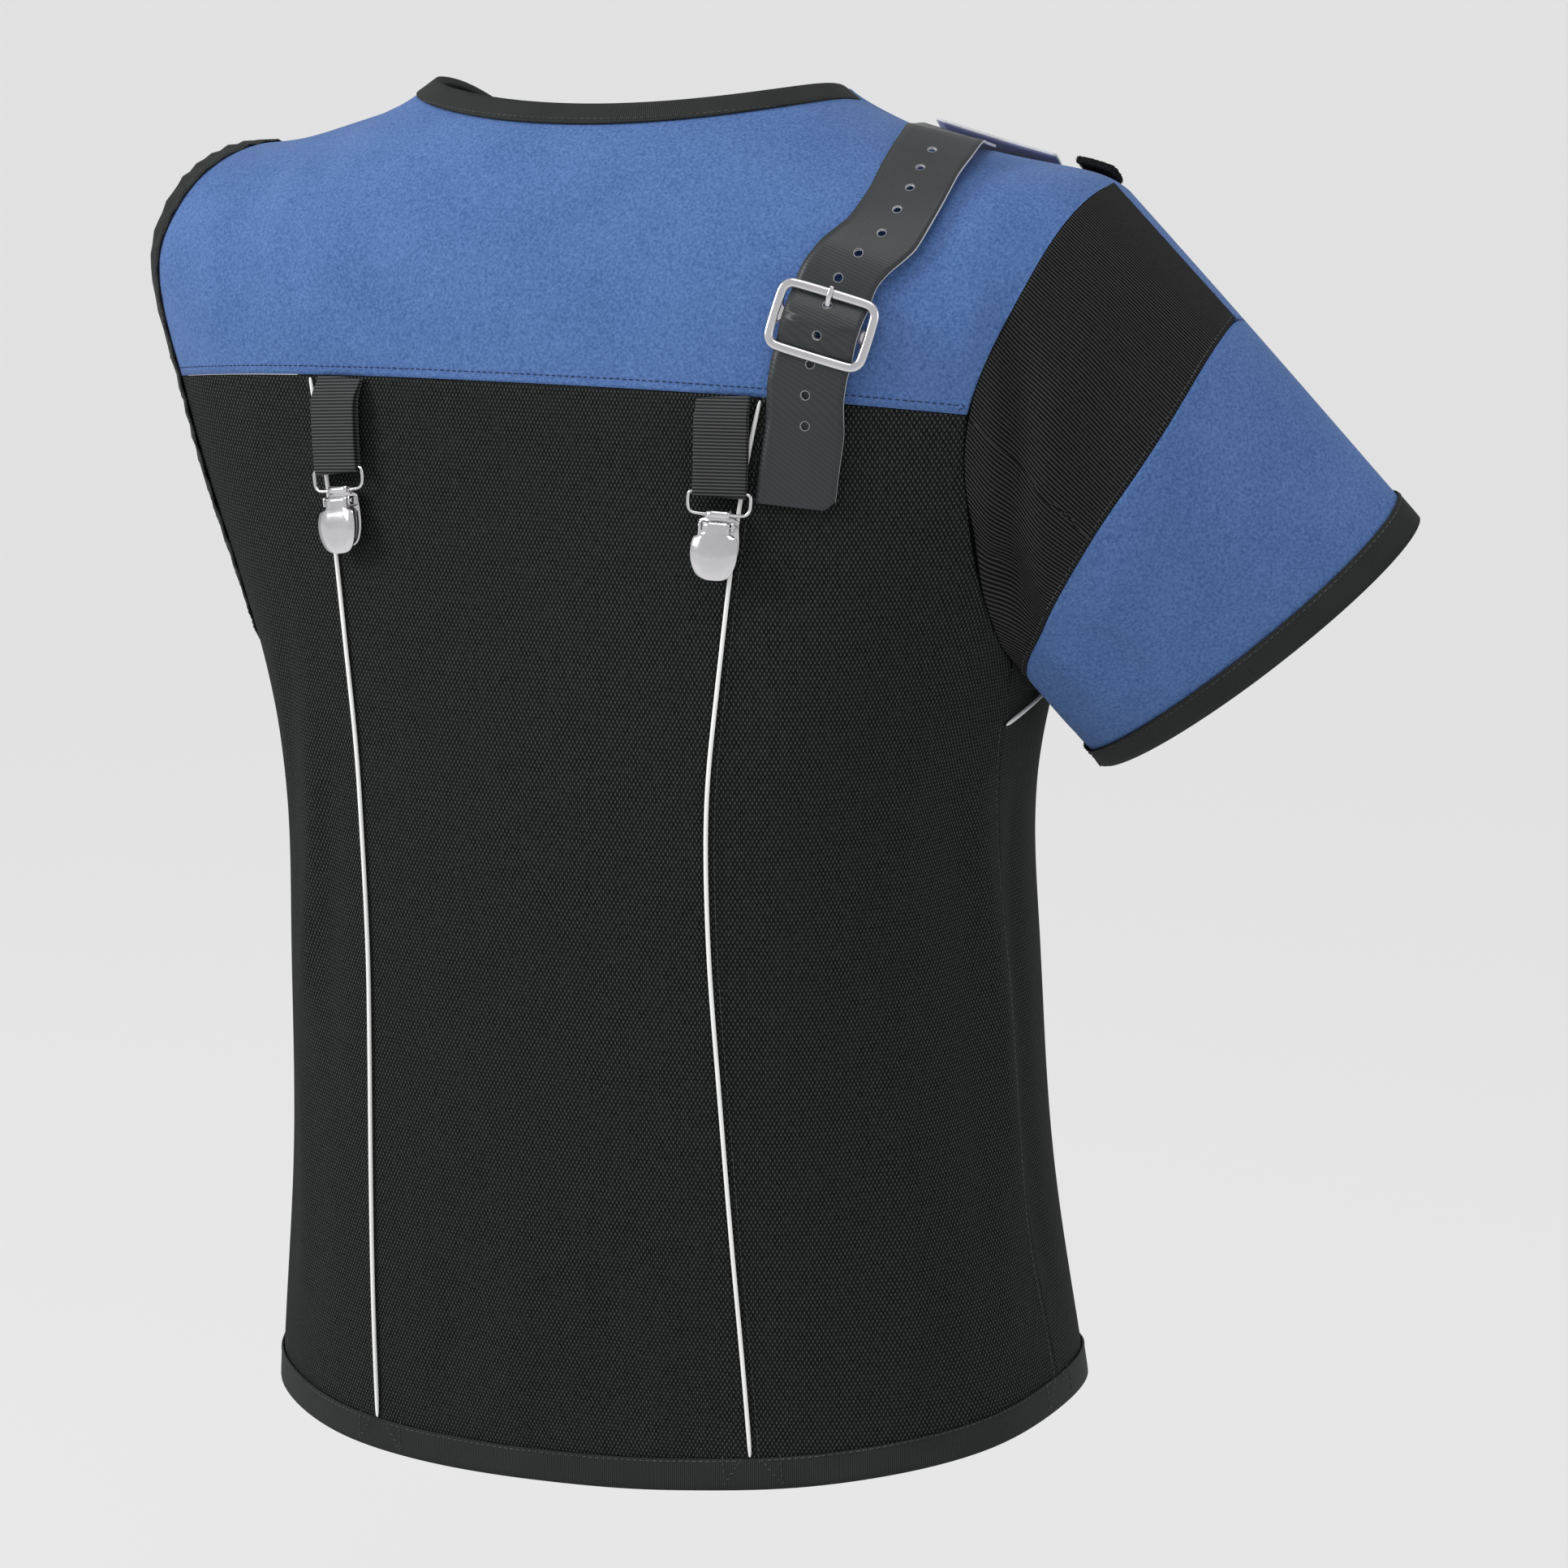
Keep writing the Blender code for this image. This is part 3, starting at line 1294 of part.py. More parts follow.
def make_prong(frame):
    """The prong hooks round the centre bar, comes up through a hole and rests on the frame."""
    hook = CENTRE_BAR_RADIUS + 0.0003 + 0.0007
    bar = (0.0, CENTRE_BAR_LIFT)
    top = BUCKLE_BAR_LIFT + BUCKLE_BAR_THICK / 2 + 0.0003 + 0.0007
    path = arc(bar, hook, 10, -150, 8) + list(PRONG_BENDS) + [(PRONG_TIP, top)]
    path += [(-0.0158, top), (-0.0174, top - 0.0004)]
    widths = [0.0011] * (len(path) - 1) + [0.0008]
    bent_strip("buckle_prong", frame, path, widths, 0.0012, NICKEL)


def make_chape(frame):
    """The short strap that holds the buckle, folded round the bar with a slot for the prong."""
    wrap = CENTRE_BAR_RADIUS + 0.0003 + CHAPE_THICK / 2
    low = OVER_PANEL + CHAPE_THICK / 2
    bar = (0.0, CENTRE_BAR_LIFT)
    path = [(down, low) for down in (0.058, 0.045, 0.032, 0.020, 0.010)] + [(0.005, low + 0.0003)]
    path += arc(bar, wrap, -70, -270, 8)[1:]
    path += [(0.0030, 0.0051), (0.0060, 0.0033), (0.0082, low + CHAPE_THICK + 0.0003)]
    path = np.array(path + [(0.0100, low + CHAPE_THICK + 0.0003)])
    run = unit(np.gradient(path, axis=0))
    columns = (-CHAPE_WIDTH / 2, -0.0019, 0.0019, CHAPE_WIDTH / 2)
    wide = len(columns)
    slot = range(4, len(path) - 3)
    outer, inner, faces = [], [], []
    for (along, lift), (run_down, run_out) in zip(path, run):
        for across in columns:
            point, out, down = strap_place(along, across, lift)
            normal = out * run_down - down * run_out
            outer.append(point + normal * CHAPE_THICK / 2)
            inner.append(point - normal * CHAPE_THICK / 2)
    for face in grid_faces(len(path), wide):
        if not (face[0] % wide == 1 and face[0] // wide in slot):
            faces.append(face)
    wall("buckle_chape", np.array(outer), np.array(inner), faces, COATED)


# Front end of the strap and its fastening


def make_strap_end():
    """The strap's other end, lying across the shoulder, with its edge standing off the cloth."""
    rows = ((0.050, 0.0050), (0.062, 0.0052), (0.074, 0.0050), (0.084, 0.0036), (0.092, 0.0014))
    outer, inner = [], []
    for station, height in rows:
        for turn, share in ((196.0, 0.0), (190.0, 0.55), (184.5, 1.0)):
            out = outward(torso, turn, station)
            point = torso(turn, station) + out * (0.0009 + share * height)
            inner.append(point)
            outer.append(point + out * STRAP_THICK)
    return np.array(outer), np.array(inner)


def make_hook_strip():
    grid = patch(*(np.array(side, float) for side in hook_strip_border()))
    turn, along = grid[..., 0].ravel(), grid[..., 1].ravel()
    points, normals = torso(turn, along), outward(torso, turn, along)
    faces = grid_faces(*grid.shape[:2])
    wall("hook_and_loop_strip", points + 0.0026 * normals, points + OVER_PANEL * normals, faces, BINDING)


def hook_strip_border():
    left = [(189.4, 0.100), (189.4, 0.107), (189.4, 0.114)]
    right = [(184.0, 0.100), (184.0, 0.107), (184.0, 0.114)]
    top = [(189.4, 0.100), (186.7, 0.100), (184.0, 0.100)]
    bottom = [(189.4, 0.114), (186.7, 0.114), (184.0, 0.114)]
    return left, right, top, bottom


# Zip


def front_line(stations, sideways, height):
    """Points beside the centre front, a distance towards the wearer's left and above the cloth."""
    turn = 270 + np.degrees(sideways / smooth(RINGS, "front_depth", stations))
    turn, stations = np.broadcast_arrays(turn, stations)
    return torso(turn, stations) + outward(torso, turn, stations) * height


def strip_on_front(name, stations, sideways, heights, finish):
    low, high = heights
    left, right = sideways
    corners = ((left, low), (right, low), (right, high), (left, high))
    sections = np.stack([front_line(stations, at, height) for at, height in corners], 1)
    return sweep(name, sections, finish)


def make_zip():
    stations = between(ZIP_TOP, ZIP_BOTTOM, 24)
    half = CHAIN_WIDTH / 2
    under = -CLOTH - 0.0008
    strip_on_front("zip_chain", stations, (-half, half), (-0.0016, -0.0016 + CHAIN_THICK), NICKEL)
    for side, name in ((1, "left"), (-1, "right")):
        edges = (side * 0.0004, side * ZIP_TAPE_WIDTH)
        strip_on_front("zip_tape_" + name, stations, edges, (under - TAPE, under), BINDING)
    make_slider()


def slider_frame():
    station = SLIDER_STATION
    out = outward(torso, 270.0, station)
    down = unit(torso(270.0, station + 0.004) - torso(270.0, station - 0.004))
    return Frame(torso(270.0, station), down, np.cross(out, down), out)


def make_slider():
    frame = slider_frame()
    low, high = 0.0008, 0.0032
    top, bottom = -SLIDER_LENGTH / 2, SLIDER_LENGTH / 2
    half = SLIDER_WIDTH / 2
    sections = []
    for down, narrow, rise in ((top, 0.6, 0.0), (top + 0.003, 1.0, 0.0), (bottom - 0.004, 1.0, 0.0), (bottom, 0.7, 0.0)):
        wide, crown = half * narrow, high + rise
        corners = ((-wide, low), (wide, low), (wide, crown), (-wide, crown))
        sections.append([frame.at(down, out, across) for across, out in corners])
    body = sweep("zip_slider", sections, NICKEL)
    hinge = (-0.001, high + 0.0020)
    for side in (-1, 1):
        acrosses = (side * 0.0026, side * 0.0036)
        post = box_points(frame, (hinge[0] - 0.0012, hinge[0] + 0.0012), (high - 0.0005, hinge[1] + 0.0010), acrosses)
        join_solid(body, guide(sweep("post_guide", post, NICKEL)))
    angles = np.radians(np.arange(8) * 45)
    ring = [(hinge[0] + 0.0006 * math.cos(a), hinge[1] + 0.0006 * math.sin(a)) for a in angles]
    rod = [[frame.at(d, o, a) for d, o in ring] for a in (-0.0031, 0.0031)]
    join_solid(body, guide(sweep("hinge_guide", rod, NICKEL)))
    curl = 0.0006 + 0.0002 + 0.0004
    path = arc(hinge, curl, 250, 60, 7)
    path += [(hinge[0] + down, hinge[1] + out) for down, out in ((0.004, 0.0006), (0.012, 0.0004), (0.022, 0.0004), (PULL_LENGTH, 0.0004))]
    widths = [0.0021] * 8 + [0.0021, 0.0036, 0.0040, 0.0034]
    bent_strip("zip_pull_tab", frame, path, widths, 0.0008, NICKEL, frame.at(*hinge))


def main():
    for found in list(bpy.data.objects):
        bpy.data.objects.remove(found)
    make_back()
    make_fronts()
    make_sleeve()
    make_bindings()
    make_piping()
    make_strap()
    outer, inner = make_strap_end()
    wall("strap_front_end", outer, inner, grid_faces(5, 3), COATED_BACK)
    make_hook_strip()
    make_buckle()
    for name, turn, lean in (("left", 51.0, 9.0), ("right", 129.6, -6.0)):
        end = make_tab("webbing_tab_" + name, turn, lean)
        make_bail("bail_" + name, end)
        make_clip(name, end)
    make_zip()


main()
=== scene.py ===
"""Looks of a short sporting vest with one short sleeve, bound edges, a buckled strap and two clips.

Each cloth panel is a smooth thin shell on its solid's form, with soft creases, and the stitches,
zip teeth, hole rims and fastening loops follow the panels.
"""

import logging
import math
from dataclasses import dataclass, field
from enum import Enum

import bmesh
import bpy
import numpy as np
from mathutils import Euler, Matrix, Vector
from mathutils.bvhtree import BVHTree
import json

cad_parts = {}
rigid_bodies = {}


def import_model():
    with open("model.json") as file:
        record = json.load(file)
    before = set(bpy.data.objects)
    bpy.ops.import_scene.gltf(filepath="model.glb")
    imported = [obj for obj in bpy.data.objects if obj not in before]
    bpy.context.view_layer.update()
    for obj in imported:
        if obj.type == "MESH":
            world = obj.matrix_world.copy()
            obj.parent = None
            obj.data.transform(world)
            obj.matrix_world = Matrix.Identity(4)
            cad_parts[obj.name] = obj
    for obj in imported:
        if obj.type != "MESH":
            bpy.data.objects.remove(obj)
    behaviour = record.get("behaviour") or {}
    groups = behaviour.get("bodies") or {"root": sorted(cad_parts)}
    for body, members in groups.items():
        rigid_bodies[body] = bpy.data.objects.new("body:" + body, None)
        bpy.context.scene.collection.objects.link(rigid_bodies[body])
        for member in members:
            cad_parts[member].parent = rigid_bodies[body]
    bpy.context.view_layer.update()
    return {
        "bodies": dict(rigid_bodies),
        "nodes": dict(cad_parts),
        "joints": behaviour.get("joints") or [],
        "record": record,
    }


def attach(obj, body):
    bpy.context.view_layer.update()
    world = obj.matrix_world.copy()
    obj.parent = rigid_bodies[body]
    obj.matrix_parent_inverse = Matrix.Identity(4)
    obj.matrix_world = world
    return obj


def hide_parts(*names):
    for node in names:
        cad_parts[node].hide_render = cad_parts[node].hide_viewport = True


LOG = logging.getLogger("vest")
SIDES = ("left", "right")

# Camera: place, target and lens that match the photograph's angle
CAMERA_PLACE = (-0.874, 1.753, 0.059)
CAMERA_TARGET = (-0.064, -0.029, -0.350)
LENS = 93.7
SENSOR = 36.0

# The sleeve's middle line, from the armhole to the cuff
SLEEVE_TOP = np.array([-0.212, 0.004, -0.165])
SLEEVE_END = np.array([-0.297, -0.047, -0.265])

# Half width and half depth of the body, for its outward direction
BODY_HALF_WIDTH = 0.215
BODY_HALF_DEPTH = 0.135

# Heights between which the outward direction turns up over the shoulders, and how far it turns
SHOULDER_LOW = -0.11
SHOULDER_HIGH = -0.03
SHOULDER_TURN = 1.5

# How much of a point's height off a crease is left out, and how a crease fades at its ends
HEIGHT_LEFT_OUT = 0.7
END_FADE = 0.8
END_POWER = 4

# Roughness of a cloth's sheen and of a clear coat
SHEEN_ROUGHNESS = 0.45
COAT_ROUGHNESS = 0.25

# Middles of the left armhole and of the neck, for patterns that run round them
ARMHOLE_MIDDLE = np.array([0.0, 0.0, -0.17])
NECK_MIDDLE_DEPTH = -0.01

# Sectors in which a closed form's length is measured
RING_SECTORS = 72


def unit(vectors: np.ndarray) -> np.ndarray:
    """Vectors scaled to length one."""
    return vectors / np.maximum(np.linalg.norm(vectors, axis=-1, keepdims=True), 1e-12)


class Side(Enum):
    """Sides of a thin wall."""

    OUTSIDE = 0
    UNDERSIDE = 1
    EDGE = 2


class Shape(Enum):
    """Shapes that repeat along a line."""

    STITCH = "stitch"
    TOOTH = "tooth"


class Pattern(Enum):
    """Ways of laying a pattern on a piece."""

    BODY = "round the body"
    SLEEVE = "round the sleeve"
    NECK = "round the neck"
    ARMHOLE = "round the armhole"
    STRIP = "along a strip"


# Creases


@dataclass(frozen=True)
class Crease:
    """A soft trough or ridge in the cloth between two places.

    A positive height is a ridge and a negative one is a trough, in metres.
    """

    start: tuple[float, float, float]
    end: tuple[float, float, float]
    width: float
    height: float
    bow: float = 0.0

    def rise(self, points: np.ndarray, out: np.ndarray) -> np.ndarray:
        """Height of the crease at points.

        Args:
            points: Places on the cloth.
            out: Outward direction at each place.

        Returns:
            One height for each point.
        """
        start, end = np.array(self.start), np.array(self.end)
        run = end - start
        share = np.clip((points - start) @ run / (run @ run), 0, 1)
        beside = unit(np.cross(out, run))
        middle = start + share[:, None] * run + beside * (self.bow * np.sin(math.pi * share))[:, None]
        away = points - middle
        away -= out * (away * out).sum(-1, keepdims=True) * HEIGHT_LEFT_OUT
        near = np.exp(-((np.linalg.norm(away, axis=1) / self.width) ** 2))
        return self.height * near * (1 - (2 * share - 1) ** END_POWER * END_FADE)


BODY_CREASES = (
    Crease((0.173, 0.072, -0.060), (0.176, 0.099, -0.131), 0.010, 0.0022, 0.004),
    Crease((0.158, 0.062, -0.052), (0.153, 0.106, -0.128), 0.009, -0.0020, -0.003),
    Crease((0.142, 0.058, -0.046), (0.128, 0.112, -0.126), 0.010, 0.0022, 0.003),
    Crease((0.109, 0.067, -0.040), (0.092, 0.114, -0.108), 0.012, 0.0016, -0.004),
    Crease((0.012, 0.094, -0.044), (0.015, 0.122, -0.123), 0.020, 0.0014, 0.006),
    Crease((-0.040, 0.094, -0.048), (-0.055, 0.120, -0.120), 0.014, -0.0014, -0.004),
    Crease((-0.198, 0.080, -0.078), (-0.207, 0.090, -0.130), 0.009, 0.0014, 0.002),
    Crease((0.117, 0.117, -0.304), (0.137, 0.097, -0.458), 0.011, 0.0026, 0.006),
    Crease((0.099, 0.125, -0.317), (0.113, 0.115, -0.484), 0.011, -0.0022, -0.005),
    Crease((0.132, 0.111, -0.262), (0.150, 0.095, -0.372), 0.010, -0.0020, 0.004),
    Crease((0.140, 0.100, -0.480), (0.150, 0.095, -0.610), 0.014, 0.0022, 0.005),
    Crease((0.205, 0.020, -0.300), (0.185, 0.060, -0.360), 0.010, 0.0024, 0.004),
    Crease((0.200, 0.010, -0.350), (0.190, 0.040, -0.520), 0.013, -0.0026, 0.006),
    Crease((-0.005, 0.140, -0.522), (0.005, 0.134, -0.640), 0.014, 0.0020, 0.004),
    Crease((-0.055, 0.138, -0.532), (-0.056, 0.133, -0.635), 0.015, -0.0020, -0.004),
    Crease((0.032, 0.137, -0.560), (0.043, 0.131, -0.640), 0.012, -0.0016, 0.003),
    Crease((-0.197, 0.038, -0.310), (-0.208, 0.011, -0.541), 0.012, 0.0028, 0.006),
    Crease((-0.195, -0.008, -0.330), (-0.216, -0.008, -0.587), 0.012, -0.0026, -0.006),
    Crease((-0.188, 0.056, -0.300), (-0.208, 0.049, -0.578), 0.012, -0.0024, 0.006),
    Crease((-0.178, 0.075, -0.290), (-0.186, 0.082, -0.400), 0.011, 0.0020, -0.005),
    Crease((-0.171, 0.087, -0.427), (-0.182, 0.090, -0.610), 0.013, 0.0022, 0.006),
    Crease((0.020, 0.132, -0.260), (-0.020, 0.128, -0.400), 0.030, 0.0014, 0.010),
    Crease((0.100, -0.105, -0.120), (0.175, -0.085, -0.190), 0.014, 0.0030, 0.008),
    Crease((0.060, -0.135, -0.180), (0.160, -0.110, -0.240), 0.016, -0.0030, 0.008),
    Crease((-0.100, -0.105, -0.120), (-0.175, -0.085, -0.190), 0.014, 0.0030, -0.008),
    Crease((-0.060, -0.135, -0.180), (-0.160, -0.110, -0.240), 0.016, -0.0030, -0.008),
    Crease((0.170, -0.075, -0.360), (0.120, -0.125, -0.450), 0.016, 0.0030, 0.008),
    Crease((-0.170, -0.075, -0.350), (-0.120, -0.125, -0.440), 0.016, 0.0030, -0.008),
    Crease((0.060, -0.145, -0.420), (0.080, -0.145, -0.610), 0.022, -0.0023, 0.008),
    Crease((-0.090, -0.140, -0.430), (-0.080, -0.145, -0.620), 0.022, 0.0023, 0.008),
)

SLEEVE_CREASES = (
    Crease((-0.223, 0.076, -0.112), (-0.217, 0.062, -0.250), 0.0060, -0.0048, 0.002),
    Crease((-0.212, 0.080, -0.135), (-0.207, 0.070, -0.240), 0.0050, 0.0018, 0.002),
    Crease((-0.234, 0.070, -0.130), (-0.228, 0.056, -0.258), 0.0075, 0.0024, 0.003),
    Crease((-0.256, 0.060, -0.150), (-0.243, 0.048, -0.258), 0.0090, -0.0016, 0.004),
    Crease((-0.278, 0.046, -0.168), (-0.243, 0.042, -0.251), 0.014, 0.0016, 0.006),
    Crease((-0.311, 0.021, -0.198), (-0.271, 0.009, -0.285), 0.016, -0.0014, 0.006),
    Crease((-0.228, 0.043, -0.262), (-0.243, 0.014, -0.292), 0.008, 0.0026, 0.003),
    Crease((-0.244, 0.045, -0.250), (-0.262, 0.016, -0.282), 0.009, -0.0026, 0.003),
    Crease((-0.252, 0.043, -0.087), (-0.237, 0.071, -0.153), 0.014, 0.0014, 0.004),
    Crease((-0.232, -0.080, -0.150), (-0.290, -0.098, -0.230), 0.014, 0.0030, 0.006),
    Crease((-0.225, -0.075, -0.210), (-0.262, -0.095, -0.275), 0.012, -0.0030, 0.006),
    Crease((-0.214, -0.040, -0.262), (-0.236, -0.070, -0.312), 0.010, 0.0026, 0.004),
)


@dataclass(frozen=True)
class Drape:
    """The creases of the body or of the sleeve, which move whatever lies on that cloth alike."""

    creases: tuple[Crease, ...]
    on_sleeve: bool

    def outward(self, points: np.ndarray) -> np.ndarray:
        """Directions out of the garment.

        Args:
            points: Places on the cloth.

        Returns:
            A unit vector for each point.
        """
        if self.on_sleeve:
            run = SLEEVE_END - SLEEVE_TOP
            share = ((points - SLEEVE_TOP) @ run / (run @ run))[:, None]
            return unit(points - SLEEVE_TOP - share * run)
        out = np.zeros_like(points)
        out[:, 0] = points[:, 0] / BODY_HALF_WIDTH**2
        out[:, 1] = points[:, 1] / BODY_HALF_DEPTH**2
        out = unit(out)
        high = np.clip((points[:, 2] - SHOULDER_LOW) / (SHOULDER_HIGH - SHOULDER_LOW), 0, 1)
        out[:, 2] = high * SHOULDER_TURN
        return unit(out)

    def moved(self, points: np.ndarray) -> np.ndarray:
        """Points moved by the creases.

        Args:
            points: Places on the smooth cloth.

        Returns:
            Their places on the creased cloth.
        """
        out = self.outward(points)
        rise = sum((crease.rise(points, out) for crease in self.creases), np.zeros(len(points)))
        return points + out * rise[:, None]


BODY_DRAPE = Drape(BODY_CREASES, False)
SLEEVE_DRAPE = Drape(SLEEVE_CREASES, True)


# Node groups that more than one finish uses


class Nodes:
    """A shader node tree being filled."""

    def __init__(self, tree: bpy.types.NodeTree) -> None:
        """Keeps the tree."""
        self.tree = tree

    def add(self, kind: str, inputs: dict | None = None, **settings: object) -> bpy.types.Node:
        """A new node.

        Args:
            kind: Its type's name.
            inputs: A socket or a value for each of its inputs, by name or number.
            settings: Its properties by name.

        Returns:
            The node.
        """
        node = self.tree.nodes.new(kind)
        for name, value in settings.items():
            setattr(node, name, value)
        self.feed(node, inputs or {})
        return node

    def feed(self, node: bpy.types.Node, inputs: dict) -> None:
        """Gives a node its inputs.

        Args:
            node: The node.
            inputs: A socket to join or a value, by the input's name or number.
        """
        for name, value in inputs.items():
            if isinstance(value, bpy.types.NodeSocket):
                self.link(value, node.inputs[name])
            else:
                node.inputs[name].default_value = value

    def link(self, start: bpy.types.NodeSocket, end: bpy.types.NodeSocket) -> None:
        """Joins two sockets."""
        self.tree.links.new(start, end)

    def sum(self, operation: str, *values: object) -> bpy.types.NodeSocket:
        """A sum of sockets and numbers.

        Args:
            operation: The sum's name.
            values: Sockets or numbers.

        Returns:
            The result's socket.
        """
        return self.add("ShaderNodeMath", dict(enumerate(values)), operation=operation).outputs[0]


def shader_group(
    name: str, inputs: dict[str, float | None], output: str
) -> tuple[Nodes, dict, bpy.types.NodeSocket]:
    """A shader node group with a vector input, number inputs and one number output.

    Args:
        name: The group's name.
        inputs: Each input's name with its first value, or None for a vector.
        output: The output's name.

    Returns:
        Its nodes, its input sockets by name and the socket that takes the result.
    """
    group = bpy.data.node_groups.new(name, "ShaderNodeTree")
    for title, value in inputs.items():
        kind = "NodeSocketVector" if value is None else "NodeSocketFloat"
        socket = group.interface.new_socket(title, in_out="INPUT", socket_type=kind)
        if value is not None:
            socket.default_value = value
    group.interface.new_socket(output, in_out="OUTPUT", socket_type="NodeSocketFloat")
    kit = Nodes(group)
    entry, leave = kit.add("NodeGroupInput"), kit.add("NodeGroupOutput")
    return kit, {title: entry.outputs[title] for title in inputs}, leave.inputs[0]


def waves(kit: Nodes, place: bpy.types.NodeSocket, pitch: bpy.types.NodeSocket) -> bpy.types.NodeSocket:
    """A wave from -1 to 1 along a coordinate.

    Args:
        kit: The tree.
        place: The coordinate.
        pitch: Its length from crest to crest.

    Returns:
        The wave's socket.
    """
    return kit.sum("COSINE", kit.sum("MULTIPLY", kit.sum("DIVIDE", place, pitch), 2 * math.pi))


def make_yarn_group() -> bpy.types.NodeTree:
    """Raised yarns in staggered rows, as a height from 0 to 1."""
    inputs = {"Place": None, "Across": 0.0016, "Along": 0.0016}
    kit, entry, leave = shader_group("yarn_rows", inputs, "Height")
    split = kit.add("ShaderNodeSeparateXYZ", {0: entry["Place"]})
    across = waves(kit, split.outputs[0], entry["Across"])
    along = waves(kit, split.outputs[1], entry["Along"])
    product = kit.sum("MULTIPLY", across, along)
    kit.link(kit.sum("MULTIPLY_ADD", product, 0.5, 0.5), leave)
    return kit.tree


def make_rib_group() -> bpy.types.NodeTree:
    """Straight ribs, as a height from 0 to 1."""
    kit, entry, leave = shader_group("ribs", {"Place": None, "Pitch": 0.001, "Lean": 0.0}, "Height")
    split = kit.add("ShaderNodeSeparateXYZ", {0: entry["Place"]})
    slanted = kit.sum("ADD", split.outputs[0], kit.sum("MULTIPLY", split.outputs[1], entry["Lean"]))
    kit.link(kit.sum("MULTIPLY_ADD", waves(kit, slanted, entry["Pitch"]), 0.5, 0.5), leave)
    return kit.tree


def make_mottle_group() -> bpy.types.NodeTree:
    """Uneven tone from a coarse and a fine cloud, from 0 to 1."""
    inputs = {"Place": None, "Coarse": 40.0, "Fine": 700.0, "Share": 0.5}
    kit, entry, leave = shader_group("mottle", inputs, "Mask")
    clouds = []
    for title, detail in (("Coarse", 3.0), ("Fine", 4.0)):
        cloud = {"Vector": entry["Place"], "Scale": entry[title], "Detail": detail}
        clouds.append(kit.add("ShaderNodeTexNoise", cloud).outputs[0])
    step = kit.sum("SUBTRACT", clouds[1], clouds[0])
    kit.link(kit.sum("MULTIPLY_ADD", step, entry["Share"], clouds[0]), leave)
    return kit.tree


@dataclass
class Groups:
    """The shared node groups."""

    yarn: bpy.types.NodeTree = field(default_factory=make_yarn_group)
    ribs: bpy.types.NodeTree = field(default_factory=make_rib_group)
    mottle: bpy.types.NodeTree = field(default_factory=make_mottle_group)


# Finishes


Colour = tuple[float, float, float]


@dataclass(frozen=True)
class Finish:
    """A procedural material: two tones between which a mask moves, with painted highlight on the crests of a
    weave or ribs and painted shade in their grooves, and a relief.
    """

    name: str
    dark: Colour
    light: Colour
    roughness: float
    metallic: float = 0.0
    sheen: float = 0.0
    coat: float = 0.0
    specular: float = 0.12
    # crest_light_power and painted_crest_light set how sharply and how strongly the colour follows the crests
    # of the weave or ribs: painted highlight on the crests, painted shade in the grooves
    crest_light_power: float = 1.0
    coarse: float = 40.0
    fine: float = 900.0
    fine_share: float = 0.5
    contrast: float = 3.0
    yarn_across: float = 0.0
    yarn_along: float = 0.0
    rib_pitch: float = 0.0
    rib_lean: float = 0.0
    painted_crest_light: float = 0.0
    relief: float = 0.0002
    relief_strength: float = 0.5
    uneven_roughness: float = 0.3
    uneven_relief: float = 0.3

    def build(self, groups: Groups) -> bpy.types.Material:
        """The material.

        Args:
            groups: The shared node groups.

        Returns:
            A new material.
        """
        made = bpy.data.materials.new(self.name)
        made.use_nodes = True
        kit = Nodes(made.node_tree)
        place = kit.add("ShaderNodeTexCoord").outputs
        clouds = {"Coarse": self.coarse, "Fine": self.fine, "Share": self.fine_share}
        inputs = {"Place": place["Object"], **clouds}
        mottle = kit.add("ShaderNodeGroup", inputs, node_tree=groups.mottle).outputs[0]
        uneven = kit.sum("SUBTRACT", mottle, 0.5)
        centred = kit.sum("MULTIPLY_ADD", uneven, self.contrast, 0.5)
        mask, height = centred, mottle
        if self.yarn_across or self.rib_pitch:
            if self.yarn_across:
                tree, sizes = groups.yarn, {"Across": self.yarn_across, "Along": self.yarn_along}
            else:
                tree, sizes = groups.ribs, {"Pitch": self.rib_pitch, "Lean": self.rib_lean}
            inputs = {"Place": place["UV"], **sizes}
            pattern = kit.add("ShaderNodeGroup", inputs, node_tree=tree).outputs[0]
            # Painted highlight and shade: the colour is lighter on the raised yarns or ribs and darker in the
            # grooves between them, on top of the random tone
            lit_crests = kit.sum("POWER", pattern, self.crest_light_power)
            step = kit.sum("SUBTRACT", lit_crests, centred)
            mask = kit.sum("MULTIPLY_ADD", step, self.painted_crest_light, centred)
            height = kit.sum("MULTIPLY_ADD", mottle, self.uneven_relief, pattern)
        clamp = kit.add("ShaderNodeClamp", {0: mask})
        tones = {"Factor": clamp.outputs[0], "A": (*self.dark, 1.0), "B": (*self.light, 1.0)}
        tone = kit.add("ShaderNodeMix", tones, data_type="RGBA")
        relief = {"Strength": self.relief_strength, "Distance": self.relief, "Height": height}
        bump = kit.add("ShaderNodeBump", relief)
        shading = {
            "Base Color": tone.outputs["Result"],
            "Roughness": kit.sum("MULTIPLY_ADD", uneven, self.uneven_roughness, self.roughness),
            "Metallic": self.metallic,
            "Specular IOR Level": self.specular,
            "Sheen Weight": self.sheen,
            "Sheen Roughness": SHEEN_ROUGHNESS,
            "Coat Weight": self.coat,
            "Coat Roughness": COAT_ROUGHNESS,
            "Normal": bump.outputs["Normal"],
        }
        kit.feed(made.node_tree.nodes["Principled BSDF"], shading)
        return made


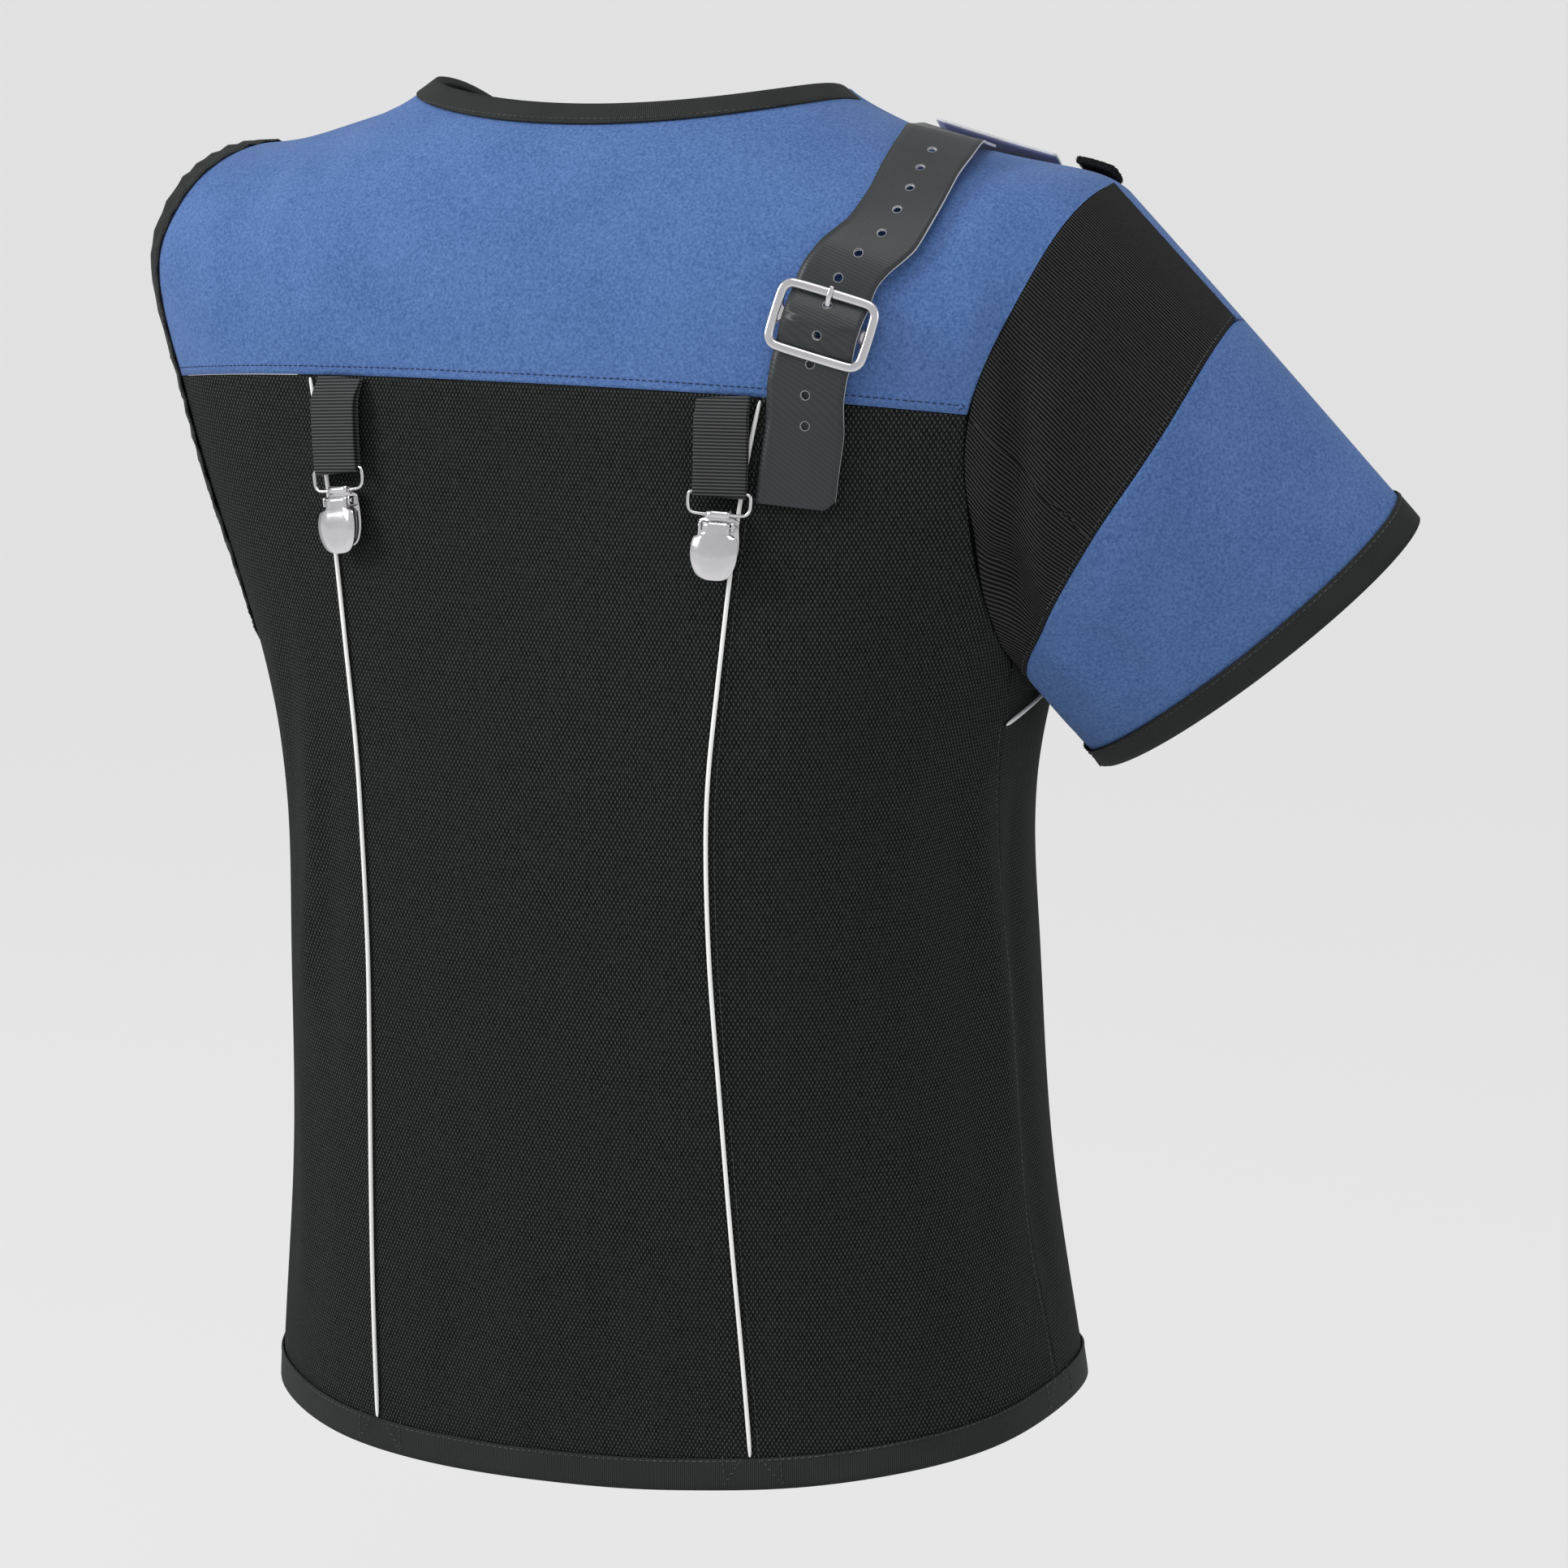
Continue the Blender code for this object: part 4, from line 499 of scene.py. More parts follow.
SUEDE = Finish(
    "blue_suede", (0.042, 0.098, 0.262), (0.108, 0.197, 0.430), 0.95, sheen=0.08,
    coarse=30.0, fine=750.0, fine_share=0.82, contrast=2.6, relief=0.0005, relief_strength=0.7,
)
# In the woven and ribbed finishes below, the light tone on the crests is painted highlight and the dark tone
# in the grooves is painted shade, over the cloth's own dark colour
CANVAS = Finish(
    "black_canvas", (0.0018, 0.0023, 0.0021), (0.088, 0.098, 0.092), 0.8, specular=0.06,
    yarn_across=0.00193, yarn_along=0.00348, painted_crest_light=0.88, crest_light_power=4.5,
    coarse=60.0, fine=520.0, fine_share=0.9, contrast=2.6, relief=0.0006, relief_strength=0.8,
)
RIBBED = Finish(
    "black_sleeve_cloth", (0.0016, 0.0018, 0.0017), (0.060, 0.063, 0.060), 0.75, specular=0.06,
    rib_pitch=0.00152, painted_crest_light=0.9, crest_light_power=3.0,
    fine=520.0, fine_share=0.9, contrast=2.4, relief=0.0004, relief_strength=0.7,
)
GROSGRAIN = Finish(
    "black_binding", (0.012, 0.013, 0.013), (0.046, 0.049, 0.048), 0.6, specular=0.08,
    rib_pitch=0.00098, painted_crest_light=0.6, crest_light_power=2.5,
    fine_share=0.3, contrast=1.4, relief=0.0004, relief_strength=0.7,
)
WEBBING = Finish(
    "black_webbing", (0.006, 0.006, 0.006), (0.095, 0.098, 0.098), 0.6,
    rib_pitch=0.0015, painted_crest_light=0.85, crest_light_power=2.0,
    fine_share=0.3, contrast=1.4, relief=0.0004, relief_strength=0.8,
)
PIPING = Finish(
    "white_piping", (0.80, 0.80, 0.79), (0.95, 0.95, 0.94), 0.6,
    fine=1500.0, contrast=1.5, relief=0.0001,
)
COATED = Finish(
    "coated_strap", (0.017, 0.020, 0.022), (0.036, 0.041, 0.044), 0.40, specular=0.35,
    rib_pitch=0.0013, rib_lean=0.55, painted_crest_light=0.4,
    contrast=1.2, relief=0.00008, relief_strength=0.5,
)
BACKING = Finish("strap_underside", (0.36, 0.34, 0.48), (0.52, 0.50, 0.64), 0.85, fine=1500.0, relief=0.0001)
CUT_EDGE = Finish("strap_cut_edge", (0.55, 0.56, 0.57), (0.80, 0.80, 0.80), 0.7, fine=1500.0, relief=0.0001)
HOLE_EDGE = Finish("strap_hole_edge", (0.14, 0.15, 0.16), (0.30, 0.31, 0.32), 0.6, fine=1500.0, relief=0.0001)
NICKEL = Finish(
    "nickel", (0.60, 0.59, 0.61), (0.80, 0.79, 0.81), 0.16, metallic=1.0, specular=0.5,
    coarse=60.0, fine=2500.0, contrast=1.6, relief=0.00003, relief_strength=0.3,
)
LOOPS = Finish("hook_and_loop", (0.004, 0.004, 0.005), (0.025, 0.026, 0.028), 0.9, relief=0.0001)
BLACK_THREAD = Finish("black_thread", (0.030, 0.032, 0.031), (0.095, 0.100, 0.097), 0.55, relief=0.00005)
BLUE_THREAD = Finish("blue_thread", (0.010, 0.018, 0.050), (0.022, 0.038, 0.090), 0.6, relief=0.00005)


@dataclass
class Finishes:
    """Materials made once and shared by the pieces."""

    groups: Groups = field(default_factory=Groups)
    made: dict[str, bpy.types.Material] = field(default_factory=dict)

    def get(self, finish: Finish) -> bpy.types.Material:
        """The material of a finish, made when first asked for."""
        if finish.name not in self.made:
            self.made[finish.name] = finish.build(self.groups)
        return self.made[finish.name]


# Meshes


def add_mesh(name: str, mesh: bpy.types.Mesh) -> bpy.types.Object:
    """A new object with a mesh, in the scene."""
    made = bpy.data.objects.new(name, mesh)
    bpy.context.scene.collection.objects.link(made)
    return made


def baked(made: bpy.types.Object) -> bpy.types.Object:
    """The object with its modifiers turned into plain mesh.

    Args:
        made: An object with modifiers.

    Returns:
        The same object.
    """
    bpy.context.view_layer.update()
    graph = bpy.context.evaluated_depsgraph_get()
    mesh = bpy.data.meshes.new_from_object(made.evaluated_get(graph))
    mesh.name = made.name
    made.modifiers.clear()
    made.data = mesh
    return made


def places(mesh: bpy.types.Mesh) -> np.ndarray:
    """Places of a mesh's points, one row for each."""
    found = np.zeros(len(mesh.vertices) * 3)
    mesh.vertices.foreach_get("co", found)
    return found.reshape(-1, 3)


def put(mesh: bpy.types.Mesh, points: np.ndarray) -> None:
    """Moves a mesh's points."""
    mesh.vertices.foreach_set("co", points.ravel())
    mesh.update()


def grown_regions(made: bmesh.types.BMesh, sharp: float) -> list[list[bmesh.types.BMFace]]:
    """Groups of faces that meet without a sharp edge, the largest first.

    Args:
        made: The mesh.
        sharp: Least angle of a sharp edge.

    Returns:
        The groups.
    """
    left, found = set(made.faces), []
    while left:
        group, open_faces = [], [left.pop()]
        while open_faces:
            face = open_faces.pop()
            group.append(face)
            for edge in face.edges:
                if edge.is_manifold and edge.calc_face_angle(math.pi) < sharp:
                    near = [other for other in edge.link_faces if other in left]
                    left.difference_update(near)
                    open_faces.extend(near)
        found.append(group)
    return sorted(found, key=lambda group: -sum(face.calc_area() for face in group))


def shell_of(node: bpy.types.Object, centre: Vector, sharp: float, crease: float) -> bpy.types.Mesh:
    """A quad mesh of a wall's solid, with its sides marked and its sharp edges creased.

    Args:
        node: The solid's object.
        centre: A place inside the garment.
        sharp: Least angle of a sharp edge.
        crease: How sharp those edges stay.

    Returns:
        The mesh, with a face attribute "side".
    """
    made = bmesh.new()
    made.from_mesh(node.data)
    bmesh.ops.remove_doubles(made, verts=made.verts, dist=0.00002)
    flattest, squarest = math.radians(30), math.radians(70)
    bmesh.ops.join_triangles(
        made, faces=made.faces, angle_face_threshold=flattest, angle_shape_threshold=squarest
    )
    bmesh.ops.recalc_face_normals(made, faces=made.faces)
    creases = made.edges.layers.float.new("crease_edge")
    side = made.faces.layers.int.new("side")
    for edge in made.edges:
        if edge.is_manifold and edge.calc_face_angle(0) > sharp:
            edge[creases] = crease
    regions = grown_regions(made, sharp)
    leading = regions[:2]

    def facing(group: list[bmesh.types.BMFace]) -> float:
        """How far a group faces away from the centre."""
        total = 0.0
        for face in group:
            way = (face.calc_center_median() - centre).normalized()
            total += face.normal.dot(way) * face.calc_area()
        return total

    leading.sort(key=facing, reverse=True)
    for number, group in enumerate(leading + regions[2:]):
        for face in group:
            face[side] = min(number, Side.EDGE.value)
    mesh = bpy.data.meshes.new(node.name)
    made.to_mesh(mesh)
    made.free()
    return mesh


def smoothed(name: str, mesh: bpy.types.Mesh, levels: int) -> bpy.types.Object:
    """An object with a rounder copy of a mesh.

    Args:
        name: The object's name.
        mesh: Its coarse mesh.
        levels: How many times each face is cut.

    Returns:
        The object, with a plain mesh.
    """
    made = add_mesh(name, mesh)
    rounder = made.modifiers.new("rounder", "SUBSURF")
    rounder.levels = levels
    rounder.render_levels = levels
    rounder.quality = 5
    made = baked(made)
    made.data.shade_smooth()
    made.data.set_sharp_from_angle(angle=math.radians(48))
    return made


def sides_of(mesh: bpy.types.Mesh) -> np.ndarray:
    """The side that each face of a wall belongs to."""
    found = np.zeros(len(mesh.polygons), np.int32)
    mesh.attributes["side"].data.foreach_get("value", found)
    return found


@dataclass
class Ring:
    """Length round a closed form, measured from its points."""

    angle: np.ndarray
    length: np.ndarray
    whole: float

    @classmethod
    def measured(cls, across: np.ndarray, along: np.ndarray) -> "Ring":
        """A ring through the mean of points in even sectors.

        Args:
            across: First coordinate of points about the middle.
            along: Second coordinate of the same points.

        Returns:
            The ring.
        """
        count = RING_SECTORS
        sector = ((np.arctan2(across, along) + math.pi) / (2 * math.pi) * count).astype(int) % count
        far = np.hypot(across, along)
        mean = np.array([far[sector == k].mean() if (sector == k).any() else np.nan for k in range(count)])
        known = ~np.isnan(mean)
        middle = (np.arange(count) + 0.5) / count * 2 * math.pi - math.pi
        mean = np.interp(middle, middle[known], mean[known], period=2 * math.pi)
        ends = np.append(middle, middle[0] + 2 * math.pi)
        radius = np.append(mean, mean[0])
        steps = np.hypot(np.diff(radius * np.sin(ends)), np.diff(radius * np.cos(ends)))
        length = np.concatenate([[0], np.cumsum(steps)])
        return cls(ends, length, float(length[-1]))

    def at(self, across: np.ndarray, along: np.ndarray) -> np.ndarray:
        """Lengths round the ring, at points' angles."""
        turn = np.arctan2(across, along)
        turn = np.where(turn < self.angle[0], turn + 2 * math.pi, turn)
        return np.interp(turn, self.angle, self.length)


def sleeve_frame() -> tuple[np.ndarray, np.ndarray, np.ndarray]:
    """Directions along the sleeve and two across it."""
    along = unit(SLEEVE_END - SLEEVE_TOP)
    first = unit(np.cross(along, (0.0, 1.0, 0.0)))
    return along, first, np.cross(along, first)


def strip_axes(points: np.ndarray) -> tuple[np.ndarray, np.ndarray]:
    """Long and middle directions of a strip's points."""
    _, _, axes = np.linalg.svd(points - points.mean(0), full_matrices=False)
    return axes[0], axes[1]


def lay_pattern(mesh: bpy.types.Mesh, pattern: Pattern) -> None:
    """Gives a mesh its UV map, in metres along the cloth.

    Args:
        mesh: The mesh.
        pattern: How the cloth lies.
    """
    points = places(mesh)
    whole = 0.0
    if pattern is Pattern.STRIP:
        middle = points.mean(0)
        first, second = strip_axes(points)
        u, v = (points - middle) @ first, (points - middle) @ second
    else:
        if pattern is Pattern.BODY:
            across, along, v = points[:, 0], points[:, 1], points[:, 2]
        elif pattern is Pattern.NECK:
            across, along, v = points[:, 0], points[:, 1] - NECK_MIDDLE_DEPTH, points[:, 2]
        elif pattern is Pattern.ARMHOLE:
            across, along, v = points[:, 1], -(points[:, 2] - ARMHOLE_MIDDLE[2]), points[:, 0]
        else:
            down, first, second = sleeve_frame()
            away = points - SLEEVE_TOP
            across, along, v = away @ first, away @ second, away @ down
        ring = Ring.measured(across, along)
        u, whole = ring.at(across, along), ring.whole
    corners = np.zeros(len(mesh.loops), np.int32)
    mesh.loops.foreach_get("vertex_index", corners)
    flat = np.stack([u[corners], v[corners]], 1)
    if whole:
        starts = np.zeros(len(mesh.polygons), np.int32)
        sizes = np.zeros(len(mesh.polygons), np.int32)
        mesh.polygons.foreach_get("loop_start", starts)
        mesh.polygons.foreach_get("loop_total", sizes)
        face = np.repeat(np.arange(len(starts)), sizes)
        highest = np.maximum.reduceat(flat[:, 0], starts)
        behind = flat[:, 0] < highest[face] - whole / 2
        flat[behind, 0] += whole
    layer = mesh.uv_layers.get("UVMap") or mesh.uv_layers.new(name="UVMap")
    layer.data.foreach_set("uv", flat.ravel().astype(np.float32))


def wear(made: bpy.types.Object, materials: list[bpy.types.Material]) -> None:
    """Dresses a wall: one material all over, or one for each of its sides."""
    made.data.materials.clear()
    for material in materials:
        made.data.materials.append(material)
    picked = np.minimum(sides_of(made.data), len(materials) - 1).astype(np.int32)
    made.data.polygons.foreach_set("material_index", picked)
    made.data.update()


# Cloth panels and bindings


@dataclass(frozen=True)
class Cut:
    """A cloth piece: its node, finish and pattern, and the flat size that it was cut to."""

    node: str
    finish: Finish
    pattern: Pattern
    slot: str
    width: float
    length: float
    area: float
    levels: int = 3
    sleeve: bool = False
    held: str = "draped"


PANELS = (
    Cut("back_yoke", SUEDE, Pattern.BODY, "blue_suede", 0.60, 0.24, 0.0856),
    Cut("back_centre", CANVAS, Pattern.BODY, "black_canvas", 0.24, 0.53, 0.1011),
    Cut("back_side_left", CANVAS, Pattern.BODY, "black_canvas", 0.19, 0.52, 0.0804),
    Cut("back_side_right", CANVAS, Pattern.BODY, "black_canvas", 0.18, 0.51, 0.0766),
    Cut("front_upper_left", CANVAS, Pattern.BODY, "black_canvas", 0.29, 0.32, 0.0620),
    Cut("front_upper_right", CANVAS, Pattern.BODY, "black_canvas", 0.29, 0.30, 0.0577),
    Cut("front_lower_left", CANVAS, Pattern.BODY, "black_canvas", 0.28, 0.43, 0.1083),
    Cut("front_lower_right", CANVAS, Pattern.BODY, "black_canvas", 0.28, 0.43, 0.1081),
    Cut("sleeve_upper_back", RIBBED, Pattern.SLEEVE, "black_sleeve_cloth", 0.24, 0.13, 0.0170, sleeve=True),
    Cut("sleeve_upper_front", SUEDE, Pattern.SLEEVE, "blue_suede", 0.24, 0.12, 0.0128, sleeve=True),
    Cut("sleeve_lower", SUEDE, Pattern.SLEEVE, "blue_suede", 0.46, 0.17, 0.0421, sleeve=True),
)


@dataclass(frozen=True)
class Binding(Cut):
    """A ribbed strip folded over an edge of the cloth."""

    levels: int = 2
    held: str = "folded"


BINDINGS = (
    Binding("neck_binding", GROSGRAIN, Pattern.NECK, "black_binding", 0.62, 0.036, 0.0194),
    Binding("armhole_binding_left", GROSGRAIN, Pattern.ARMHOLE, "black_binding", 0.60, 0.038, 0.0209),
    Binding("hem_binding", GROSGRAIN, Pattern.BODY, "black_binding", 1.15, 0.038, 0.0411),
    Binding("cuff_binding", GROSGRAIN, Pattern.SLEEVE, "black_binding", 0.48, 0.036, 0.0160, sleeve=True),
)


@dataclass
class Garment:
    """The cloth panels and the bound edges, and the surfaces that stitches land on."""

    frame: dict
    finishes: Finishes
    scallop_pitch: float = 0.013
    scallop_height: float = 0.0007
    uneven_waves: int = 6
    wall_sharp: float = math.radians(50)
    chest_height: float = -0.20
    waist_height: float = -0.40
    panel_crease: float = 1.0
    binding_crease: float = 0.55
    pieces: dict[str, bpy.types.Object] = field(default_factory=dict)
    surfaces: dict[str, BVHTree] = field(default_factory=dict)

    def centre(self, cut: Cut) -> Vector:
        """A place inside the garment that its outside faces away from."""
        if cut.sleeve:
            return Vector((SLEEVE_TOP + SLEEVE_END) / 2)
        high = "yoke" in cut.node or "upper" in cut.node
        return Vector((0.0, 0.0, self.chest_height if high else self.waist_height))

    def panel(self, cut: Cut, crease: float) -> bpy.types.Object:
        """One cloth piece on its solid's form.

        Args:
            cut: The piece.
            crease: How sharp its edges stay.

        Returns:
            Its object.
        """
        mesh = shell_of(self.frame["nodes"][cut.node], self.centre(cut), self.wall_sharp, crease)
        made = smoothed(cut.node + "_cloth", mesh, cut.levels)
        drape = SLEEVE_DRAPE if cut.sleeve else BODY_DRAPE
        points = drape.moved(places(made.data))
        if cut.pattern is Pattern.ARMHOLE:
            points = self.scalloped(points)
        put(made.data, points)
        lay_pattern(made.data, cut.pattern)
        wear(made, [self.finishes.get(cut.finish)])
        self.surfaces[cut.node] = BVHTree.FromPolygons(
            [tuple(point) for point in points], [tuple(face.vertices) for face in made.data.polygons]
        )
        self.pieces[cut.node] = made
        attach(made, "vest")
        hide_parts(cut.node)
        LOG.info("%s: %d faces", made.name, len(made.data.polygons))
        return made

    def scalloped(self, points: np.ndarray) -> np.ndarray:
        """The armhole binding's points, pushed in and out a little where its stitches gather it."""
        away = (points - ARMHOLE_MIDDLE) * (0, 1, 1)
        across, along = points[:, 1], -(points[:, 2] - ARMHOLE_MIDDLE[2])
        ring = Ring.measured(across, along)
        turn = 2 * math.pi * ring.at(across, along) / ring.whole
        count = round(ring.whole / self.scallop_pitch)
        wave = np.sin(count * turn) + 0.5 * np.sin(self.uneven_waves * turn)
        return points + unit(away) * (self.scallop_height * wave)[:, None]

    def build(self) -> None:
        """Makes every panel and binding."""
        for cut in PANELS:
            self.panel(cut, self.panel_crease)
        for cut in BINDINGS:
            self.panel(cut, self.binding_crease)


# Lines of stitches


@dataclass(frozen=True)
class Seam:
    """A line of stitches inside a panel's border, where the border runs near another piece."""

    panel: str
    beside: str
    inside: float
    finish: Finish = BLACK_THREAD
    land_on: str = ""
    reach: float = 0.0014
    shortest: float = 0.028


def make_seams() -> tuple[Seam, ...]:
    """Every line of stitches on the vest."""
    below_yoke = ("back_centre", "back_side_left", "back_side_right")
    seams = [Seam("back_yoke", other, 0.004, BLUE_THREAD) for other in below_yoke]
    for side in SIDES:
        seams.append(Seam("back_side_" + side, "back_centre", 0.0034))
        seams.append(Seam("back_side_" + side, "front_lower_" + side, 0.0028))
        seams.append(Seam("front_lower_" + side, "front_upper_" + side, 0.0034))
        for panel in ("front_upper_", "front_lower_"):
            seams.append(Seam(panel + side, "zip_tape_" + side, 0.0035, reach=0.0045))
        seams.append(Seam("front_upper_" + side, "neck_binding", 0.012, land_on="neck_binding"))
        for panel in ("back_side_", "front_lower_"):
            seams.append(Seam(panel + side, "hem_binding", 0.0135, land_on="hem_binding"))
    seams.append(Seam("back_centre", "hem_binding", 0.0135, land_on="hem_binding"))
    seams.append(Seam("back_yoke", "neck_binding", 0.012, land_on="neck_binding"))
    for panel in ("back_yoke", "back_side_left", "front_upper_left", "front_lower_left"):
        seams.append(Seam(panel, "armhole_binding_left", 0.0095, land_on="armhole_binding_left"))
    seams.append(Seam("sleeve_lower", "cuff_binding", 0.012, land_on="cuff_binding"))
    seams.append(Seam("sleeve_upper_back", "sleeve_lower", 0.0020))
    return tuple(seams)


def border_loops(mesh: bpy.types.Mesh) -> list[tuple[np.ndarray, np.ndarray]]:
    """Border lines of a wall's outside, with the direction into the panel at each point.

    Args:
        mesh: The wall, with its sides marked.

    Returns:
        Points and directions of each closed border.
    """
    points = places(mesh)
    side = sides_of(mesh)
    border: dict[tuple[int, int], int] = {}
    for face in mesh.polygons:
        corners = list(face.vertices)
        if side[face.index] != Side.OUTSIDE.value:
            continue
        for a, b in zip(corners, corners[1:] + corners[:1]):
            if (b, a) in border:
                del border[(b, a)]
            else:
                border[(a, b)] = face.index
    after = {a: b for a, b in border}
    centres = {a: np.array(mesh.polygons[face].center) for (a, _), face in border.items()}
    loops = []
    while after:
        start, line = next(iter(after)), []
        spot = start
        while spot in after:
            line.append(spot)
            spot = after.pop(spot)
        line = np.array(line)
        at = points[line]
        run = unit(np.roll(at, -1, 0) - np.roll(at, 1, 0))
        into = np.array([centres[k] for k in line]) - at
        into = unit(into - run * (into * run).sum(-1, keepdims=True))
        loops.append((at, into))
    return loops


def node_surface(node: bpy.types.Object) -> BVHTree:
    """A search tree of a solid."""
    points = [tuple(vertex.co) for vertex in node.data.vertices]
    return BVHTree.FromPolygons(points, [tuple(face.vertices) for face in node.data.polygons])


@dataclass
class Stitching:
    """Rows of stitches that follow the seams."""

    frame: dict
    garment: Garment
    finishes: Finishes
    pitch: float = 0.0032
    stitch_length: float = 0.0024
    thread: float = 0.00060
    flatness: float = 0.8
    proud: float = 0.2
    drop: float = 0.010

    def landed(self, points: np.ndarray, landing: BVHTree, drape: Drape) -> np.ndarray:
        """Points dropped from outside onto the cloth.

        Args:
            points: Places near the cloth.
            landing: The cloth's surface.
            drape: What gives the outward directions there.

        Returns:
            Places just above the cloth.
        """
        rows = []
        for point, out in zip(points, drape.outward(points)):
            way = Vector(out)
            place, normal, _, _ = landing.ray_cast(Vector(point) + way * self.drop, -way, 2 * self.drop)
            if place is None:
                place, normal, _, _ = landing.find_nearest(Vector(point))
            rows.append(np.array(place) + np.array(normal) * self.thread * self.proud)
        return np.array(rows)

    def runs(self, seam: Seam, beside: BVHTree) -> list[np.ndarray]:
        """Lines of one seam, on the creased cloth.

        Args:
            seam: The seam.
            beside: The piece that it runs beside.

        Returns:
            Points of each line.
        """
        mesh = self.garment.pieces[seam.panel].data
        landing = self.garment.surfaces[seam.land_on or seam.panel]
        drape = SLEEVE_DRAPE if seam.panel.startswith("sleeve") else BODY_DRAPE
        found = []
        for at, into in border_loops(mesh):
            near = np.array([beside.find_nearest(Vector(point))[3] < seam.reach for point in at])
            if near.all():
                pieces = [np.append(np.arange(len(at)), 0)]
            else:
                first = int(np.argmin(near))
                order = (np.arange(len(at)) + first) % len(at)
                breaks = np.flatnonzero(np.diff(near[order].astype(int)))
                pieces = [part for part in np.split(order, breaks + 1) if near[part[0]]]
            for part in pieces:
                line = at[part]
                length = np.linalg.norm(np.diff(line, axis=0), axis=1).sum()
                if len(line) < 3 or length < seam.shortest:
                    continue
                found.append(self.landed(line + into[part] * seam.inside, landing, drape))
        return found

    def build(self) -> None:
        """Makes the stitches, a piece for each thread."""
        seams = make_seams()
        solids = {name: node_surface(self.frame["nodes"][name]) for name in {seam.beside for seam in seams}}
        size = (self.stitch_length, self.thread, self.thread * self.flatness)
        for finish in (BLUE_THREAD, BLACK_THREAD):
            lines = []
            for seam in seams:
                if seam.finish is finish:
                    lines += self.runs(seam, solids[seam.beside])
            material = self.finishes.get(finish)
            made = row_along("stitches_" + finish.name, lines, Shape.STITCH, self.pitch, size, material)
            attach(made, "vest")
            LOG.info("%s: %d lines, %d faces", made.name, len(lines), len(made.data.polygons))


# Things that repeat


class GeometryTree(Nodes):
    """A Geometry Nodes tree with named inputs, ending in a plain mesh with a material."""

    def __init__(self, name: str) -> None:
        """Starts the tree with a geometry input and output."""
        super().__init__(bpy.data.node_groups.new(name, "GeometryNodeTree"))
        face = self.tree.interface
        face.new_socket("Geometry", in_out="OUTPUT", socket_type="NodeSocketGeometry")
        face.new_socket("Geometry", in_out="INPUT", socket_type="NodeSocketGeometry")
        self.identifiers: dict[str, str] = {}

    def sizes(self, **inputs: str) -> bpy.types.bpy_prop_collection:
        """Adds named inputs, each with its kind of socket, and gives all inputs' sockets."""
        for title, kind in inputs.items():
            socket = self.tree.interface.new_socket(title, in_out="INPUT", socket_type=kind)
            self.identifiers[title] = socket.identifier
        return self.add("NodeGroupInput").outputs

    def finish(self, instances: bpy.types.NodeSocket, material: bpy.types.Material) -> None:
        """Ends the tree: real geometry with its material."""
        realise = self.add("GeometryNodeRealizeInstances", {0: instances})
        inputs = {"Geometry": realise.outputs[0], "Material": material}
        dress = self.add("GeometryNodeSetMaterial", inputs)
        self.add("NodeGroupOutput", {0: dress.outputs[0]})

    def applied(self, made: bpy.types.Object, **values: object) -> bpy.types.Object:
        """The object with this tree's result as its plain mesh."""
        modifier = made.modifiers.new("repeat", "NODES")
        modifier.node_group = self.tree
        for title, value in values.items():
            modifier[self.identifiers[title]] = value
        return baked(made)


def row_along(
    name: str,
    lines: list[np.ndarray],
    shape: Shape,
    pitch: float,
    size: tuple[float, float, float],
    material: bpy.types.Material,
) -> bpy.types.Object:
    """Equal small shapes along lines.

    Args:
        name: The piece's name.
        lines: Points of each line.
        shape: What repeats.
        pitch: Distance from one to the next.
        size: Length along the line, width and height.
        material: Its material.

    Returns:
        The piece.
    """
    points, edges = [], []
    for line in lines:
        start = len(points)
        points += [tuple(point) for point in line]
        edges += [(start + k, start + k + 1) for k in range(len(line) - 1)]
    mesh = bpy.data.meshes.new(name)
    mesh.from_pydata(points, edges, [])
    tree = GeometryTree(name)
    entry = tree.sizes(Pitch="NodeSocketFloat", Size="NodeSocketVector")
    curve = tree.add("GeometryNodeMeshToCurve", {0: entry["Geometry"]})
    inputs = {"Curve": curve.outputs[0], "Length": entry["Pitch"]}
    spread = tree.add("GeometryNodeCurveToPoints", inputs, mode="LENGTH")
    if shape is Shape.STITCH:
        one = tree.add("GeometryNodeMeshIcoSphere", {"Radius": 0.5, "Subdivisions": 2})
    else:
        one = tree.add("GeometryNodeMeshCube")
    inputs = {"Vector": spread.outputs["Tangent"]}
    align = tree.add("FunctionNodeAlignRotationToVector", inputs, axis="X")
    inputs = {
        "Points": spread.outputs["Points"],
        "Instance": one.outputs["Mesh"],
        "Rotation": align.outputs[0],
        "Scale": entry["Size"],
    }
    copies = tree.add("GeometryNodeInstanceOnPoints", inputs)
    tree.finish(copies.outputs[0], material)
    made = tree.applied(add_mesh(name, mesh), Pitch=pitch, Size=size)
    if shape is Shape.STITCH:
        made.data.shade_smooth()
    return made


# Cords, strap, webbing and metal


@dataclass(frozen=True)
class Trim:
    """A smaller piece on its solid's form."""

    node: str
    finishes: tuple[Finish, ...]
    slot: str
    body: str = "vest"
    levels: int = 2
    crease: float = 0.6
    creased_cloth: bool = False


